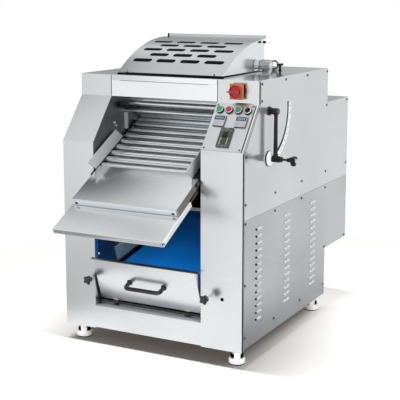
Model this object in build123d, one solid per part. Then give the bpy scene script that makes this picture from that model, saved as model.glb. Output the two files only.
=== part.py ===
from build123d import *
import math
import os

# Dough press, millimetres. X runs to the right, Y to the back, Z up from the floor.
# While it is modelled, Y starts at the lower front sheet and X at the middle of the casing;
# the last step puts the origin under the middle of the whole machine.

# Casing
body_width = 820.0
left_pillar = 147.0
right_pillar = 179.0
foot_height = 66.0
lower_front_height = 784.0
slant_rise = 177.0
slant_setback = 143.5
upper_front_height = 88.5
sill_height = 98.0
sill_raise = 4.0
body_depth = 884.0
rear_box_depth = 272.0
rear_box_drop = 152.5
rear_box_height = 673.0
lower_panel_height = 514.0
panel_lift = 8.0
sheet = 2.0
seam_depth = 20.0
flange_depth = 20.0
seam_gap = 1.0

# Frame tubes and wall plates
tube = 40.0
tube_wall = 3.0
base_tube_width = 60.0
wall_plate = 12.0
wall_setback = 24.0

# Fits
run_gap = 0.3
shaft_gap = 0.1

# Press rolls
roll_radius = 62.0
roll_gap = 3.0
roll_travel = 14.0
nip_run = 425.0
journal_radius = 20.0
roll_end_gap = 3.0
block_side = 84.0
block_cap = 12.0
bearing_radius = 44.0
bearing_spigot = 32.0
bearing_flange = 16.0
scraper_bar = 9.0
scraper_plate = 3.0
scraper_gap = 0.9
upper_scraper_angle = 30.0
lower_plate_run = 54.0

# Roll drive in the left bay
gear_teeth = 14
pinion_teeth = 12
pressure_angle = 20.0
tooth_share = 0.42
addendum = 0.75
dedendum = 0.95
flank_count = 6
gear_width = 28.0
gear_gap = 6.0
gearbox_gap = 4.0
gearbox_side = 156.0
gearbox_clear = 18.0
gearbox_boss = 10.0
gearbox_boss_inset = 14.0
pinion_socket = 12.0
pinion_end_gap = 2.0
motor_radius = 52.0
motor_core = 44.0
motor_length = 258.0
motor_side_gap = 3.0
motor_fin_count = 11
motor_fin = 6.0
motor_end = 40.0

# Sloping roller table and trays
table_angle = 27.3
table_drop = 112.0
roller_radius = 17.0
roller_count = 8
roller_start = 52.0
roller_sink = 2.0
roller_axle = 6.0
roller_end_gap = 1.5
roller_roll_gap = 0.7
rail_plate = 7.0
rail_depth = 40.0
rail_front = 22.0
rail_tail = 12.0
rail_roll_gap = 1.5
rail_tongue = 60.0
rail_pad = 9.0
rail_pad_inset = 30.0
table_side_gap = 3.5
arm_reach = 177.0
arm_plate = 3.5
guide_height = 58.0
guide_length = 237.0
guide_lean = 34.0
guide_start = 4.0
left_guide_inset = 5.0
right_guide_inset = 35.0
upper_tray_reach = 197.0
upper_tray_gap = 7.0
upper_tray_flange = 27.0
tray_gap = 2.0
lower_tray_reach = 350.0
lower_tray_length = 247.0
lower_tray_flange = 22.0
lower_tray_side_gap = 2.0
tray_hole = 5.0
tray_hole_length = 14.0
tray_hole_inset = 20.0
tray_hole_drop = 17.0

# Gap lever on the right side
lever_before_roll = 108.6
lever_over_roll = 0.7
lever_radius = 190.0
lever_swing = 95.0
lever_shaft_radius = 12.0
cam_radius = 24.0
yoke_wall = 12.0
lever_arm_radius = 9.0
lever_hub_radius = 13.0
lever_hub_length = 42.0
lever_collar = 5.0
lever_collar_width = 6.0
lever_foot_length = 44.0
lever_foot_inside = 14.0
slot_width = 12.0
clamp_screw_radius = 5.0
clamp_disc_radius = 30.0
clamp_disc = 6.0
clamp_collar = 3.0
clamp_collar_length = 14.0
clamp_nut_radius = 12.0
clamp_nut = 6.0
clamp_knob_reach = 118.0
clamp_knob_radius = 23.0
clamp_knob_width = 22.0
clamp_lobe_count = 3

# Conveyor under the table
drum_radius = 38.0
belt_thickness = 2.5
front_drum_y = 130.0
front_drum_over_sill = 86.0
rear_drum_inset = 69.0
drum_rise = 125.0
drum_journal = 10.0
belt_edge = 13.0
belt_guide_plate = 6.0
belt_guide_over = 20.0
belt_guide_height = 60.0
belt_guide_lean = 20.0
belt_guide_start = 40.0
belt_guide_end = 100.0

# Hood
hood_setback = 51.5
hood_run = 395.0
hood_rise = 131.0
hood_clear = 7.5
hood_sheet = 2.0
hood_side_gap = 2.5
hood_ledge = 6.0
hood_lip = 14.0
hood_lip_overhang = 5.0
hood_lip_inset = 23.0
throat_front = 10.0
throat_back = 16.0
hood_pivot_inset = 60.0
hood_pivot_rise = 32.5
hood_pin_radius = 10.0
hood_boss_radius = 20.0
hood_boss_length = 11.0
hood_tail_rise = 30.0
hinge_radius = 22.0
hinge_length = 42.0
hinge_offset = 14.0
hinge_foot = 20.0
hinge_foot_inset = 6.0
hood_slot_length = 89.0
hood_slot_width = 25.0
hood_slot_margin = 31.4
hood_slot_first = 29.2
hood_slot_step = 4.15
hood_slot_rows = 5
hood_slot_columns = 4

# Bin flap
flap_length = 203.0
flap_tilt = 19.5
flap_pivot_y = 40.0
flap_pivot_lift = 14.0
flap_rod_radius = 7.0
flap_knuckle = 5.0
flap_knuckle_length = 22.0
flap_knuckle_inset = 59.0
flap_start = 14.0
flap_side_gap = 9.0
flap_flange = 28.0
flap_rim = 12.0
flap_rim_overhang = 11.0
handle_span = 160.0
handle_reach = 42.0
handle_radius = 7.0
handle_bend = 14.0
handle_run = 113.0
knob_radius = 20.0
knob_thickness = 16.0
knob_lobe_count = 6
knob_lift = 213.0
knob_collar = 5.0
knob_collar_length = 16.0
knob_nut = 6.0
left_knob_inset = 14.0
right_knob_inset = 43.0
left_knob_reach = 44.0
right_knob_reach = 64.0

# Controls
panel_margin = 10.0
panel_end_gap = 7.0
panel_plate = 3.0
panel_window = 10.0
button_margin = 24.0
button_drop = 38.0
button_count = 4
button_radius = 11.2
button_proud = 4.0
button_travel = 3.5
button_stem = 5.0
button_stem_length = 14.0
bezel_radius = 14.5
bezel_height = 8.0
bezel_floor = 1.0
switch_body = 36.0
switch_well = 20.0
selector_cap = 2.0
selector_grip_width = 7.0
selector_grip_length = 20.0
selector_grip_height = 12.0
counter_side = 48.0
counter_drop = 90.0
counter_margin = 38.0
counter_depth = 50.0
counter_proud = 7.0
counter_rim = 2.0
keypad_width = 54.0
keypad_base = 21.5
keypad_gap = 5.5
keypad_plate = 6.0
switch_width = 56.0
switch_height = 62.0
switch_depth = 24.0
switch_inset = 88.0
switch_drop = 43.0
switch_stem = 6.0
switch_knob_radius = 25.0
switch_knob_plate = 12.0
switch_grip = 16.0
switch_grip_width = 12.0
switch_pointer = 32.0
switch_tail = 22.0

# Side panel fastenings and louvres
screw_head_radius = 5.0
screw_head = 2.2
screw_edge = 8.0
screw_rear_edge = 14.0
screw_top_drop = 12.0
screw_over_split = 62.0
screw_under_split = 13.0
screw_over_base = 46.0
screw_count = 4
louvre_columns = 3
louvre_rows = 14
louvre_width = 42.0
louvre_height = 9.0
louvre_front = 150.0
louvre_rear = 156.0
louvre_low = 90.0
louvre_high = 56.0

# Feet, lifting eyes and cable entry
foot_pad_radius = 33.0
foot_pad_height = 22.0
foot_chamfer = 5.0
foot_neck_radius = 12.0
foot_inset_x = 48.0
foot_front_y = 60.0
foot_rear_inset = 32.0
eye_radius = 17.0
eye_wire = 4.0
eye_foot_radius = 10.0
eye_foot = 8.0
eye_offset = 24.0
eye_behind_hood = 51.0
gland_radius = 14.0
gland_bore = 7.0
gland_wall = 3.0
gland_length = 24.0
gland_nut = 8.0
gland_inset = 160.0
gland_lift = 106.0

# Places that follow from the sizes above
half = body_width / 2
open_left = -half + left_pillar
open_right = half - right_pillar
wall_left = open_left - seam_gap
wall_right = open_right + seam_gap
mid_x = (open_left + open_right) / 2
slant_bottom = foot_height + lower_front_height
slant_top = slant_bottom + slant_rise
top = slant_top + upper_front_height
under_top = top - sheet
sill = foot_height + sill_height
frame_bottom = foot_height + panel_lift
frame_top = frame_bottom + tube
side_split = frame_bottom + lower_panel_height
rear_face = body_depth + rear_box_depth
box_top = top - rear_box_drop
box_bottom = box_top - rear_box_height

slant_rad = math.atan2(slant_rise, slant_setback)
slant_length = math.hypot(slant_rise, slant_setback)
slant = Plane(
    origin=(0, 0, slant_bottom),
    x_dir=(1, 0, 0),
    z_dir=(0, -math.sin(slant_rad), math.cos(slant_rad)),
)
table_rad = math.radians(table_angle)
table = Plane(
    origin=(0, 0, slant_bottom - table_drop),
    x_dir=(1, 0, 0),
    z_dir=(0, -math.sin(table_rad), math.cos(table_rad)),
)


def on_table(run, height):
    """Y and Z of a point given along and above the sloping table."""
    point = table.from_local_coords((0, run, height))
    return point.Y, point.Z


def to_table(y, z):
    """Run and height over the sloping table of a point given as Y and Z."""
    point = table.to_local_coords((0, y, z))
    return point.Y, point.Z


roll_offset = roll_radius + roll_gap / 2
upper_axis = on_table(nip_run, roll_offset)
lower_axis = on_table(nip_run, -roll_offset)
pinion_radius = roll_offset * pinion_teeth / gear_teeth
pinion_axis = (lower_axis[0], lower_axis[1] - roll_offset - pinion_radius)
gear_end = wall_left - wall_plate - bearing_flange - gear_gap
gear_start = gear_end - gear_width
gearbox_face = gear_start - gearbox_gap

roller_height = -roller_sink - roller_radius
roller_over_roll = roll_offset + roller_height
roller_to_roll = roll_radius + roller_radius + roller_roll_gap
roller_end = nip_run - math.sqrt(roller_to_roll**2 - roller_over_roll**2)
roller_pitch = (roller_end - roller_start) / (roller_count - 1)
rail_start = roller_start - rail_front
rail_end = roller_end + rail_tail
roller_runs = [roller_start + i * roller_pitch for i in range(roller_count)]
rail_left = wall_left + table_side_gap + rail_plate
rail_right = wall_right - table_side_gap - rail_plate
lower_tray_top = -upper_tray_flange - tray_gap

lever_y = upper_axis[0] - lever_before_roll
lever_z = upper_axis[1] + lever_over_roll
lever_foot_z = lever_z - lever_radius
lever_run, lever_height = to_table(lever_y, lever_z)
cam_throw = roll_travel / (2 * math.sin(math.radians(lever_swing / 2)))

front_drum = (front_drum_y, sill + front_drum_over_sill)
rear_drum = (body_depth - rear_drum_inset, front_drum[1] + drum_rise)
belt_left = open_left + belt_edge
belt_right = open_right - belt_edge

hood_front_y = slant_setback + hood_setback
hood_top_y = hood_front_y + hood_run
hood_left = open_left + hood_side_gap
hood_right = open_right - hood_side_gap
hood_radius = (hood_run**2 + hood_rise**2) / (2 * hood_rise)
hood_centre = (hood_top_y, top + hood_clear + hood_rise - hood_radius)
hood_edge_angle = math.degrees(math.asin(hood_run / hood_radius))
hood_pivot = (hood_top_y - hood_pivot_inset, top + hood_pivot_rise)

flap_pivot = (flap_pivot_y, sill + flap_pivot_lift)
flap_left = open_left + flap_side_gap
flap_right = open_right - flap_side_gap
flap_rad = math.radians(flap_tilt)
flap = Plane(
    origin=(0, *flap_pivot),
    x_dir=(1, 0, 0),
    z_dir=(0, -math.cos(flap_rad), -math.sin(flap_rad)),
)
knob_z = foot_height + knob_lift
left_knob_x = open_left - left_knob_inset
right_knob_x = open_right + right_knob_inset

panel_left = open_right + seam_gap
panel_right = half - panel_margin
panel_x = (panel_left + panel_right) / 2
button_row = slant_length - button_drop
button_pitch = (panel_right - panel_left - 2 * button_margin) / (button_count - 1)
button_places = [panel_left + button_margin + i * button_pitch for i in range(button_count)]
counter_row = slant_length - counter_drop
counter_places = [panel_left + counter_margin, panel_right - counter_margin]
switch_x = half - switch_inset
switch_z = top - switch_drop
gland_x = -half + gland_inset
gland_z = foot_height + gland_lift


def block(x0, x1, y0, y1, z0, z1):
    """Box between two opposite corners."""
    corner = (Align.MIN, Align.MIN, Align.MIN)
    return Pos(x0, y0, z0) * Box(x1 - x0, y1 - y0, z1 - z0, align=corner)


def x_rod(x0, x1, y, z, radius):
    """Round bar along X."""
    base = (Align.CENTER, Align.CENTER, Align.MIN)
    return Pos(x0, y, z) * Rot(0, 90, 0) * Cylinder(radius, x1 - x0, align=base)


def y_rod(x, z, y0, y1, radius):
    """Round bar along Y."""
    base = (Align.CENTER, Align.CENTER, Align.MIN)
    return Pos(x, y0, z) * Rot(-90, 0, 0) * Cylinder(radius, y1 - y0, align=base)


def z_rod(x, y, z0, z1, radius):
    """Round bar along Z."""
    base = (Align.CENTER, Align.CENTER, Align.MIN)
    return Pos(x, y, z0) * Cylinder(radius, z1 - z0, align=base)


def drawn_out(face, x0, x1):
    """Flat face in Y and Z, drawn out along X."""
    return Pos(x0, 0, 0) * extrude(face, x1 - x0, dir=(1, 0, 0))


def prism(points, x0, x1):
    """Outline of Y and Z points, drawn out along X."""
    return drawn_out(make_face(Plane.YZ * Polyline(*points, close=True)), x0, x1)


def curved_prism(edges, x0, x1):
    """Outline of lines and arcs in Y and Z, drawn out along X."""
    return drawn_out(make_face(Plane.YZ * Curve(children=edges)), x0, x1)


def square_tube(x0, x1, y0, y1, z0, z1, along):
    """Square tube with its bore along one axis, 0, 1 or 2."""
    low, high = [x0, y0, z0], [x1, y1, z1]
    inner_low = [v + tube_wall for v in low]
    inner_high = [v - tube_wall for v in high]
    inner_low[along], inner_high[along] = low[along], high[along]
    outside = block(*[v for ends in zip(low, high) for v in ends])
    inside = block(*[v for ends in zip(inner_low, inner_high) for v in ends])
    return outside - inside


def lobed_knob(lobes, radius, thickness):
    """Knob with rounded lobes, on the XY plane, rising along Z."""
    lobe = radius / 3
    flat = Circle(radius - lobe)
    for i in range(lobes):
        turn = 360 * i / lobes
        flat += Rot(0, 0, turn) * Pos(radius - lobe, 0) * Circle(lobe)
    return extrude(flat, thickness)


def spread(first, last, count):
    """Evenly spaced places from first to last."""
    return [first + i * (last - first) / (count - 1) for i in range(count)]


def angle_between(start, end):
    return math.atan2(end[1] - start[1], end[0] - start[0])


def group(solids):
    """Separate solids that share a node."""
    return Compound(children=list(solids))


# Casing

def front_line(depth):
    """Corner points of the front, from the floor up, moved back by a depth."""
    return [
        (depth, foot_height),
        (depth, slant_bottom),
        (slant_setback + depth, slant_top),
        (slant_setback + depth, under_top),
    ]


def front_band(near, far, x0, x1):
    """Bent sheet that follows the front between two depths."""
    return prism(front_line(near) + front_line(far)[::-1], x0, x1)


def base_frame():
    """Tube frame with a floor sheet between its lower rails."""
    outer = half - sheet
    inner = outer - base_tube_width
    post = outer - tube
    back = body_depth - sheet
    step = slant_setback + wall_setback
    front = (wall_setback, wall_setback + tube)
    rear = (back - tube, back)
    upper = (step, step + tube)
    pieces = []
    for side in (-1, 1):
        wide = sorted((side * inner, side * outer))
        narrow = sorted((side * post, side * outer))
        pieces.append(square_tube(*wide, wall_setback, back, frame_bottom, frame_top, 1))
        pieces.append(square_tube(*narrow, *front, frame_top, slant_bottom, 2))
        pieces.append(square_tube(*narrow, *rear, frame_top, under_top, 2))
        pieces.append(square_tube(*narrow, front[1], rear[0], side_split, side_split + tube, 1))
        pieces.append(square_tube(*narrow, *upper, side_split + tube, under_top - tube, 2))
        pieces.append(square_tube(*narrow, step, rear[0], under_top - tube, under_top, 1))
    for ends in (front, rear):
        pieces.append(square_tube(-inner, inner, *ends, frame_bottom, frame_top, 0))
    pieces.append(block(-inner, inner, front[1], rear[0], frame_top - sheet, frame_top))
    return group(pieces)


def front_cover(outer_x, inner_x):
    """Bent sheet of one front pillar, with a return along both edges."""
    side = 1 if outer_x > inner_x else -1
    cover = front_band(0, sheet, *sorted((outer_x, inner_x)))
    outer_edge = outer_x - side * sheet
    outer_return = sorted((outer_edge, outer_edge - side * sheet))
    inner_return = sorted((inner_x, inner_x + side * sheet))
    cover += front_band(sheet, sheet + seam_depth - seam_gap, *outer_return)
    return cover + front_band(sheet, sheet + flange_depth, *inner_return)


def knob_hole(x):
    """Hole for the screw of a star knob."""
    return y_rod(x, knob_z, 0, sheet, clamp_screw_radius + run_gap)


def left_front_cover():
    return front_cover(-half, open_left) - knob_hole(left_knob_x)


def right_front_cover():
    """Right pillar, cut out behind the control panel and for the main switch's stem."""
    window = slant * block(
        panel_left + panel_window,
        panel_right - panel_window,
        panel_end_gap + panel_window,
        slant_length - panel_end_gap - panel_window,
        -2 * sheet,
        sheet,
    )
    stem = switch_stem + run_gap
    switch_hole = y_rod(switch_x, switch_z, slant_setback, slant_setback + sheet, stem)
    return front_cover(half, open_right) - window - switch_hole - knob_hole(right_knob_x)


def lower_front_panel():
    face = block(open_left, open_right, 0, sheet, foot_height + sill_raise, sill)
    return face + block(open_left, open_right, sheet, flange_depth, sill - sheet, sill)


def front_fascia():
    x0, x1 = open_left + seam_gap, open_right - seam_gap
    y0 = slant_setback
    face = block(x0, x1, y0, y0 + sheet, slant_top, under_top)
    return face + block(x0, x1, y0 + sheet, y0 + flange_depth, slant_top, slant_top + sheet)


def top_plate():
    """Top sheet, open under the hood."""
    plate = block(-half, half, slant_setback, body_depth, under_top, top)
    throat_x = (open_left + seam_gap, open_right - seam_gap)
    throat_y = (hood_front_y - throat_front, hood_top_y + throat_back)
    return plate - block(*throat_x, *throat_y, under_top, top)


def upper_side_outline():
    low = side_split + seam_gap / 2
    return [
        (seam_depth, low),
        *front_line(seam_depth)[1:],
        (body_depth, under_top),
        (body_depth, box_top),
        (rear_face, box_top),
        (rear_face, low),
    ]


def lower_side_outline():
    high = side_split - seam_gap / 2
    return [
        (seam_depth, frame_bottom),
        (seam_depth, high),
        (rear_face, high),
        (rear_face, box_bottom),
        (body_depth, box_bottom),
        (body_depth, frame_bottom),
    ]


def arc_slot(x0, x1):
    """Curved slot that the clamp screw of the gap lever runs in."""
    centre = (lever_y, lever_z)
    outer = CenterArc(centre, lever_radius + slot_width / 2, -90, lever_swing)
    inner = CenterArc(centre, lever_radius - slot_width / 2, -90, lever_swing)
    ends = [Line(outer @ t, inner @ t) for t in (0, 1)]
    slot = curved_prism([outer, inner, *ends], x0, x1)
    for end in ends:
        middle = end @ 0.5
        slot += x_rod(x0, x1, middle.X, middle.Y, slot_width / 2)
    return slot


def right_upper_panel():
    x0, x1 = half - sheet, half
    shaft_hole = x_rod(x0, x1, lever_y, lever_z, lever_shaft_radius + run_gap)
    return prism(upper_side_outline(), x0, x1) - arc_slot(x0, x1) - shaft_hole


def louvre_cuts(x0, x1):
    """Rows of short slots with round ends."""
    lift, reach = louvre_height / 2, (louvre_width - louvre_height) / 2
    cuts = []
    for y in spread(louvre_front, body_depth - louvre_rear, louvre_columns):
        for z in spread(frame_bottom + louvre_low, side_split - louvre_high, louvre_rows):
            cut = block(x0, x1, y - reach, y + reach, z - lift, z + lift)
            for end in (y - reach, y + reach):
                cut += x_rod(x0, x1, end, z, lift)
            cuts.append(cut)
    return cuts


def right_lower_panel():
    x0, x1 = half - sheet, half
    return prism(lower_side_outline(), x0, x1) - louvre_cuts(x0, x1)


def left_side_panel():
    """Left side, in one sheet, with the same louvres."""
    x0, x1 = -half, -half + sheet
    outline = lower_side_outline()[:1] + upper_side_outline()[1:-1] + lower_side_outline()[3:]
    return prism(outline, x0, x1) - louvre_cuts(x0, x1)


def rear_covers():
    """Sheets over the back, and the box that stands out behind it."""
    x0, x1 = -half + sheet, half - sheet
    y0 = body_depth - sheet
    lower = block(x0, x1, y0, body_depth, frame_bottom, box_bottom)
    lower -= y_rod(gland_x, gland_z, y0, body_depth, gland_bore + gland_wall)
    upper = block(x0, x1, y0, body_depth, box_top, under_top)
    outer = [(body_depth, box_top), (rear_face, box_top)]
    outer += [(rear_face, box_bottom), (body_depth, box_bottom)]
    inner = [(body_depth, box_bottom + sheet), (rear_face - sheet, box_bottom + sheet)]
    inner += [(rear_face - sheet, box_top - sheet), (body_depth, box_top - sheet)]
    return group([lower, upper, prism(outer + inner, x0, x1)])


def screw_places():
    """Y and Z of the screws along the edges of a side panel."""
    front, back = seam_depth + screw_edge, body_depth - screw_edge
    rear = rear_face - screw_rear_edge
    upper_front = slant_setback + front
    columns = spread(front, back, screw_count)
    places = [(y, under_top - screw_top_drop) for y in spread(upper_front, back, screw_count)]
    places += [(y, side_split + screw_over_split) for y in columns + [rear]]
    places += [(y, side_split - screw_under_split) for y in columns]
    places += [(y, frame_bottom + screw_over_base) for y in columns]
    places += [(upper_front, slant_top + screw_edge), (front, slant_bottom - screw_rear_edge)]
    places += [(y, box_top - screw_top_drop) for y in (back, rear)]
    places += [(y, box_bottom + screw_edge) for y in (back, rear)]
    return places + [(front, (frame_bottom + side_split) / 2)]


def panel_screws():
    heads = []
    for y, z in screw_places():
        heads.append(x_rod(half, half + screw_head, y, z, screw_head_radius))
        heads.append(x_rod(-half - screw_head, -half, y, z, screw_head_radius))
    return group(heads)


def feet():
    profile = Plane.XZ * Polyline(
        (0, 0),
        (foot_pad_radius - foot_chamfer, 0),
        (foot_pad_radius, foot_chamfer),
        (foot_pad_radius, foot_pad_height - foot_chamfer),
        (foot_pad_radius - foot_chamfer, foot_pad_height),
        (foot_neck_radius, foot_pad_height),
        (foot_neck_radius, frame_bottom),
        (0, frame_bottom),
        close=True,
    )
    foot = revolve(make_face(profile), Axis.Z)
    x = half - foot_inset_x
    rows = (foot_front_y, body_depth - foot_rear_inset)
    return group([Pos(side * x, y, 0) * foot for side in (-1, 1) for y in rows])


# Walls, rolls and gears

def wall_plate_at(x0, x1):
    """Thick plate that carries the rolls, the table and the conveyor."""
    back = body_depth - sheet
    outline = [(wall_setback, frame_top), *front_line(wall_setback)[1:]]
    plate = prism(outline + [(back, under_top), (back, frame_top)], x0, x1)
    reach = block_side / 2 + run_gap
    plate -= table * block(
        x0,
        x1,
        nip_run - reach,
        nip_run + reach,
        roll_offset - reach,
        roll_offset + reach + roll_travel,
    )
    plate -= x_rod(x0, x1, *lower_axis, bearing_spigot)
    plate -= x_rod(x0, x1, lever_y, lever_z, lever_shaft_radius + shaft_gap)
    for axis in (front_drum, rear_drum):
        plate -= x_rod(x0, x1, *axis, drum_journal + shaft_gap)
    return plate - x_rod(x0, x1, *flap_pivot, flap_rod_radius)


def wall_plates():
    left = wall_plate_at(wall_left - wall_plate, wall_left)
    return group([left, wall_plate_at(wall_right, wall_right + wall_plate)])


def press_roll(axis):
    roll = x_rod(wall_left + roll_end_gap, wall_right - roll_end_gap, *axis, roll_radius)
    return roll + x_rod(gear_start, wall_right + wall_plate + bearing_flange, *axis, journal_radius)


def roll_bearings():
    """Fixed flange bearings of the lower roll."""
    rings = []
    for inner, outer in ((wall_left, -1), (wall_right, 1)):
        face = inner + outer * wall_plate
        end = face + outer * bearing_flange
        ring = x_rod(*sorted((inner, face)), *lower_axis, bearing_spigot)
        ring += x_rod(*sorted((face, end)), *lower_axis, bearing_radius)
        rings.append(ring - x_rod(*sorted((inner, end)), *lower_axis, journal_radius + shaft_gap))
    return group(rings)


def yoke_block(inner, outer):
    """Sliding bearing of the upper roll, with the yoke that the cam lifts."""
    face = inner + outer * (wall_plate + run_gap)
    far = face + outer * block_cap
    through = sorted((inner, far))
    outside = sorted((face, far))
    reach = block_side / 2
    high = roll_offset + reach
    slide = block(*through, nip_run - reach, nip_run + reach, roll_offset - reach, high)
    least = cam_throw * math.cos(math.radians(lever_swing / 2))
    run = lever_run + (cam_throw + least) / 2
    rise = lever_height - roll_travel / 2
    half_run = cam_radius + (cam_throw - least) / 2 + 2 * run_gap
    half_rise = cam_radius + 2 * run_gap
    hole = block(*outside, run - half_run, run + half_run, rise - half_rise, rise + half_rise)
    half_run += yoke_wall
    half_rise += yoke_wall
    eye = block(*outside, run - half_run, run + half_run, rise - half_rise, rise + half_rise)
    neck_low = min(rise - half_rise, high - yoke_wall)
    neck = block(*outside, run, nip_run, neck_low, max(high, neck_low + yoke_wall))
    bore = x_rod(*through, nip_run, roll_offset, journal_radius + shaft_gap)
    return table * (slide + neck + eye - hole - bore)


def bearing_blocks():
    return group([yoke_block(wall_left, -1), yoke_block(wall_right, 1)])


def tooth_half_angle(radius, pitch, teeth):
    """Half the angle that an involute tooth takes up at a radius."""
    angle = math.radians(pressure_angle)
    here = math.acos(min(1.0, pitch * math.cos(angle) / radius))
    at_pitch = math.tan(angle) - angle
    return tooth_share * math.pi / teeth + at_pitch - (math.tan(here) - here)


def gear(teeth, pitch, axis, phase):
    """Spur gear beside the left wall, its teeth placed from a phase angle."""
    module = 2 * pitch / teeth
    root = pitch - dedendum * module
    tip = pitch + addendum * module
    sides = [(r, tooth_half_angle(r, pitch, teeth)) for r in spread(root, tip, flank_count)]
    points = []
    for tooth in range(teeth):
        middle = phase + 2 * math.pi * tooth / teeth
        flanks = [(r, middle - a) for r, a in sides] + [(r, middle + a) for r, a in sides[::-1]]
        points += [(axis[0] + r * math.cos(a), axis[1] + r * math.sin(a)) for r, a in flanks]
    return prism(points, gear_start, gear_end)


def lower_roll_gear():
    wheel = gear(gear_teeth, roll_offset, lower_axis, angle_between(lower_axis, upper_axis))
    return wheel - x_rod(gear_start, gear_end, *lower_axis, journal_radius)


def upper_roll_gear():
    phase = angle_between(upper_axis, lower_axis) + math.pi / gear_teeth
    wheel = gear(gear_teeth, roll_offset, upper_axis, phase)
    return wheel - x_rod(gear_start, gear_end, *upper_axis, journal_radius)


def drive_pinion():
    """Pinion under the lower roll's gear, its shaft running into the gearbox."""
    toward = angle_between(lower_axis, pinion_axis)
    step = 2 * math.pi / gear_teeth
    lead = (angle_between(lower_axis, upper_axis) - toward) % step
    phase = toward + math.pi - lead * gear_teeth / pinion_teeth + math.pi / pinion_teeth
    wheel = gear(pinion_teeth, pinion_radius, pinion_axis, phase)
    shaft_start = gearbox_face - pinion_socket + pinion_end_gap
    return wheel + x_rod(shaft_start, gear_end, *pinion_axis, journal_radius)


def gearbox():
    """Gearbox on four bosses that stand on the left wall."""
    y, z = pinion_axis
    reach = gearbox_side / 2
    inset = reach - gearbox_boss_inset
    far = -half + sheet + gearbox_clear
    body = block(far, gearbox_face, y - reach, y + reach, z - reach, z + reach)
    for dy in (-inset, inset):
        for dz in (-inset, inset):
            body += x_rod(gearbox_face, wall_left - wall_plate, y + dy, z + dz, gearbox_boss)
    socket = journal_radius + shaft_gap
    return body - x_rod(gearbox_face - pinion_socket, gearbox_face, y, z, socket)


def main_motor():
    """Finned motor behind the gearbox."""
    x = -half + sheet + motor_radius + motor_side_gap
    y0 = pinion_axis[0] + gearbox_side / 2
    y1 = y0 + motor_length
    z = pinion_axis[1]
    body = y_rod(x, z, y0, y1, motor_core)
    for y in spread(y0 + motor_end / 2, y1 - 2 * motor_end, motor_fin_count):
        body += y_rod(x, z, y, y + motor_fin, motor_radius)
    return body + y_rod(x, z, y1 - motor_end, y1, motor_radius)


def scrapers():
    """Blade on a bar in front of the upper roll, and a plate under the table that meets the lower roll."""
    clear = roll_radius + scraper_gap
    angle = math.radians(upper_scraper_angle)
    tip_y = upper_axis[0] - clear * math.cos(angle)
    tip_z = upper_axis[1] - clear * math.sin(angle)
    low = tip_z - scraper_plate
    blade = [(lever_y, low), (tip_y, low), (tip_y, tip_z), (lever_y, tip_z + scraper_plate)]
    upper = prism(blade, wall_left, wall_right)
    upper += x_rod(wall_left, wall_right, lever_y, tip_z, scraper_bar)
    tip = nip_run - clear
    low = -roll_offset - scraper_plate / 2
    lower = block(wall_left, wall_right, tip - lower_plate_run, tip, low, low + scraper_plate)
    return group([upper, table * lower])


# Roller table and trays

def table_rail(inner, outer, guide_inset):
    """One side of the table: rail, tray tongue and arm, guide plate on its foot, and wall pads."""
    near = inner - outer * table_side_gap
    far = near - outer * rail_plate
    across = sorted((near, far))
    rail = block(*across, rail_start, rail_end, -rail_depth, 0)
    rail += block(*across, rail_start - rail_tongue, rail_start, -upper_tray_flange / 2, 0)
    arm_x = sorted((far, far + outer * arm_plate))
    arm_top = lower_tray_top - sheet - run_gap
    rail += block(*arm_x, -arm_reach, rail_start, -rail_depth, arm_top)
    guide_end = guide_start + guide_length
    guide_near = near - outer * guide_inset
    guide_far = guide_near - outer * sheet
    guide = [(guide_start, 0), (guide_end, 0)]
    guide += [(guide_end - guide_lean, guide_height), (guide_start - guide_lean, guide_height)]
    rail += block(*sorted((near, guide_far)), guide_start, guide_end, 0, sheet)
    rail += prism(guide, *sorted((guide_near, guide_far)))
    for run in spread(rail_start + rail_pad_inset, rail_end - rail_pad_inset, 3):
        rail += x_rod(*sorted((inner, near)), run, -rail_depth / 2, rail_pad)
    for run in roller_runs:
        rail -= x_rod(*across, run, roller_height, roller_axle + shaft_gap)
    return table * (rail - x_rod(*across, nip_run, -roll_offset, roll_radius + rail_roll_gap))


def table_rails():
    left = table_rail(wall_left, -1, left_guide_inset)
    return group([left, table_rail(wall_right, 1, right_guide_inset)])


def table_roller(run):
    ends = (rail_left + roller_end_gap, rail_right - roller_end_gap)
    roller = x_rod(*ends, run, roller_height, roller_radius)
    axle = x_rod(rail_left - rail_plate, rail_right + rail_plate, run, roller_height, roller_axle)
    return table * (roller + axle)


def tray(left, right, front, back, high, flange):
    """Sheet with flanges turned down along its sides and front."""
    low = high - flange
    plate = block(left, right, front, back, high - sheet, high)
    plate += block(left, left + sheet, front, back, low, high)
    plate += block(right - sheet, right, front, back, low, high)
    return plate + block(left, right, front, front + sheet, low, high)


def upper_tray():
    front = -upper_tray_reach
    back = roller_start - roller_radius - upper_tray_gap
    plate = tray(rail_left, rail_right, front, back, 0, upper_tray_flange)
    slot = Plane.XZ * SlotOverall(tray_hole_length, 2 * tray_hole)
    for x in (rail_left + tray_hole_inset, rail_right - tray_hole_inset):
        plate -= Pos(x, front, -tray_hole_drop) * extrude(slot, 2 * sheet, both=True)
    return table * plate


def lower_tray():
    left, right = open_left + lower_tray_side_gap, open_right - lower_tray_side_gap
    front = -lower_tray_reach
    back = front + lower_tray_length
    return table * tray(left, right, front, back, lower_tray_top, lower_tray_flange)


# Conveyor

def belt_loop(radius, x0, x1):
    """Stadium round the two drums, drawn out along X."""
    along = angle_between(front_drum, rear_drum)
    dy, dz = -radius * math.sin(along), radius * math.cos(along)
    upper = [(y + dy, z + dz) for y, z in (front_drum, rear_drum)]
    lower = [(y - dy, z - dz) for y, z in (rear_drum, front_drum)]
    loop = prism(upper + lower, x0, x1)
    for axis in (front_drum, rear_drum):
        loop += x_rod(x0, x1, *axis, radius)
    return loop


def conveyor_belt():
    inner = drum_radius + run_gap
    outside = belt_loop(inner + belt_thickness, belt_left, belt_right)
    return outside - belt_loop(inner, belt_left, belt_right)


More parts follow.
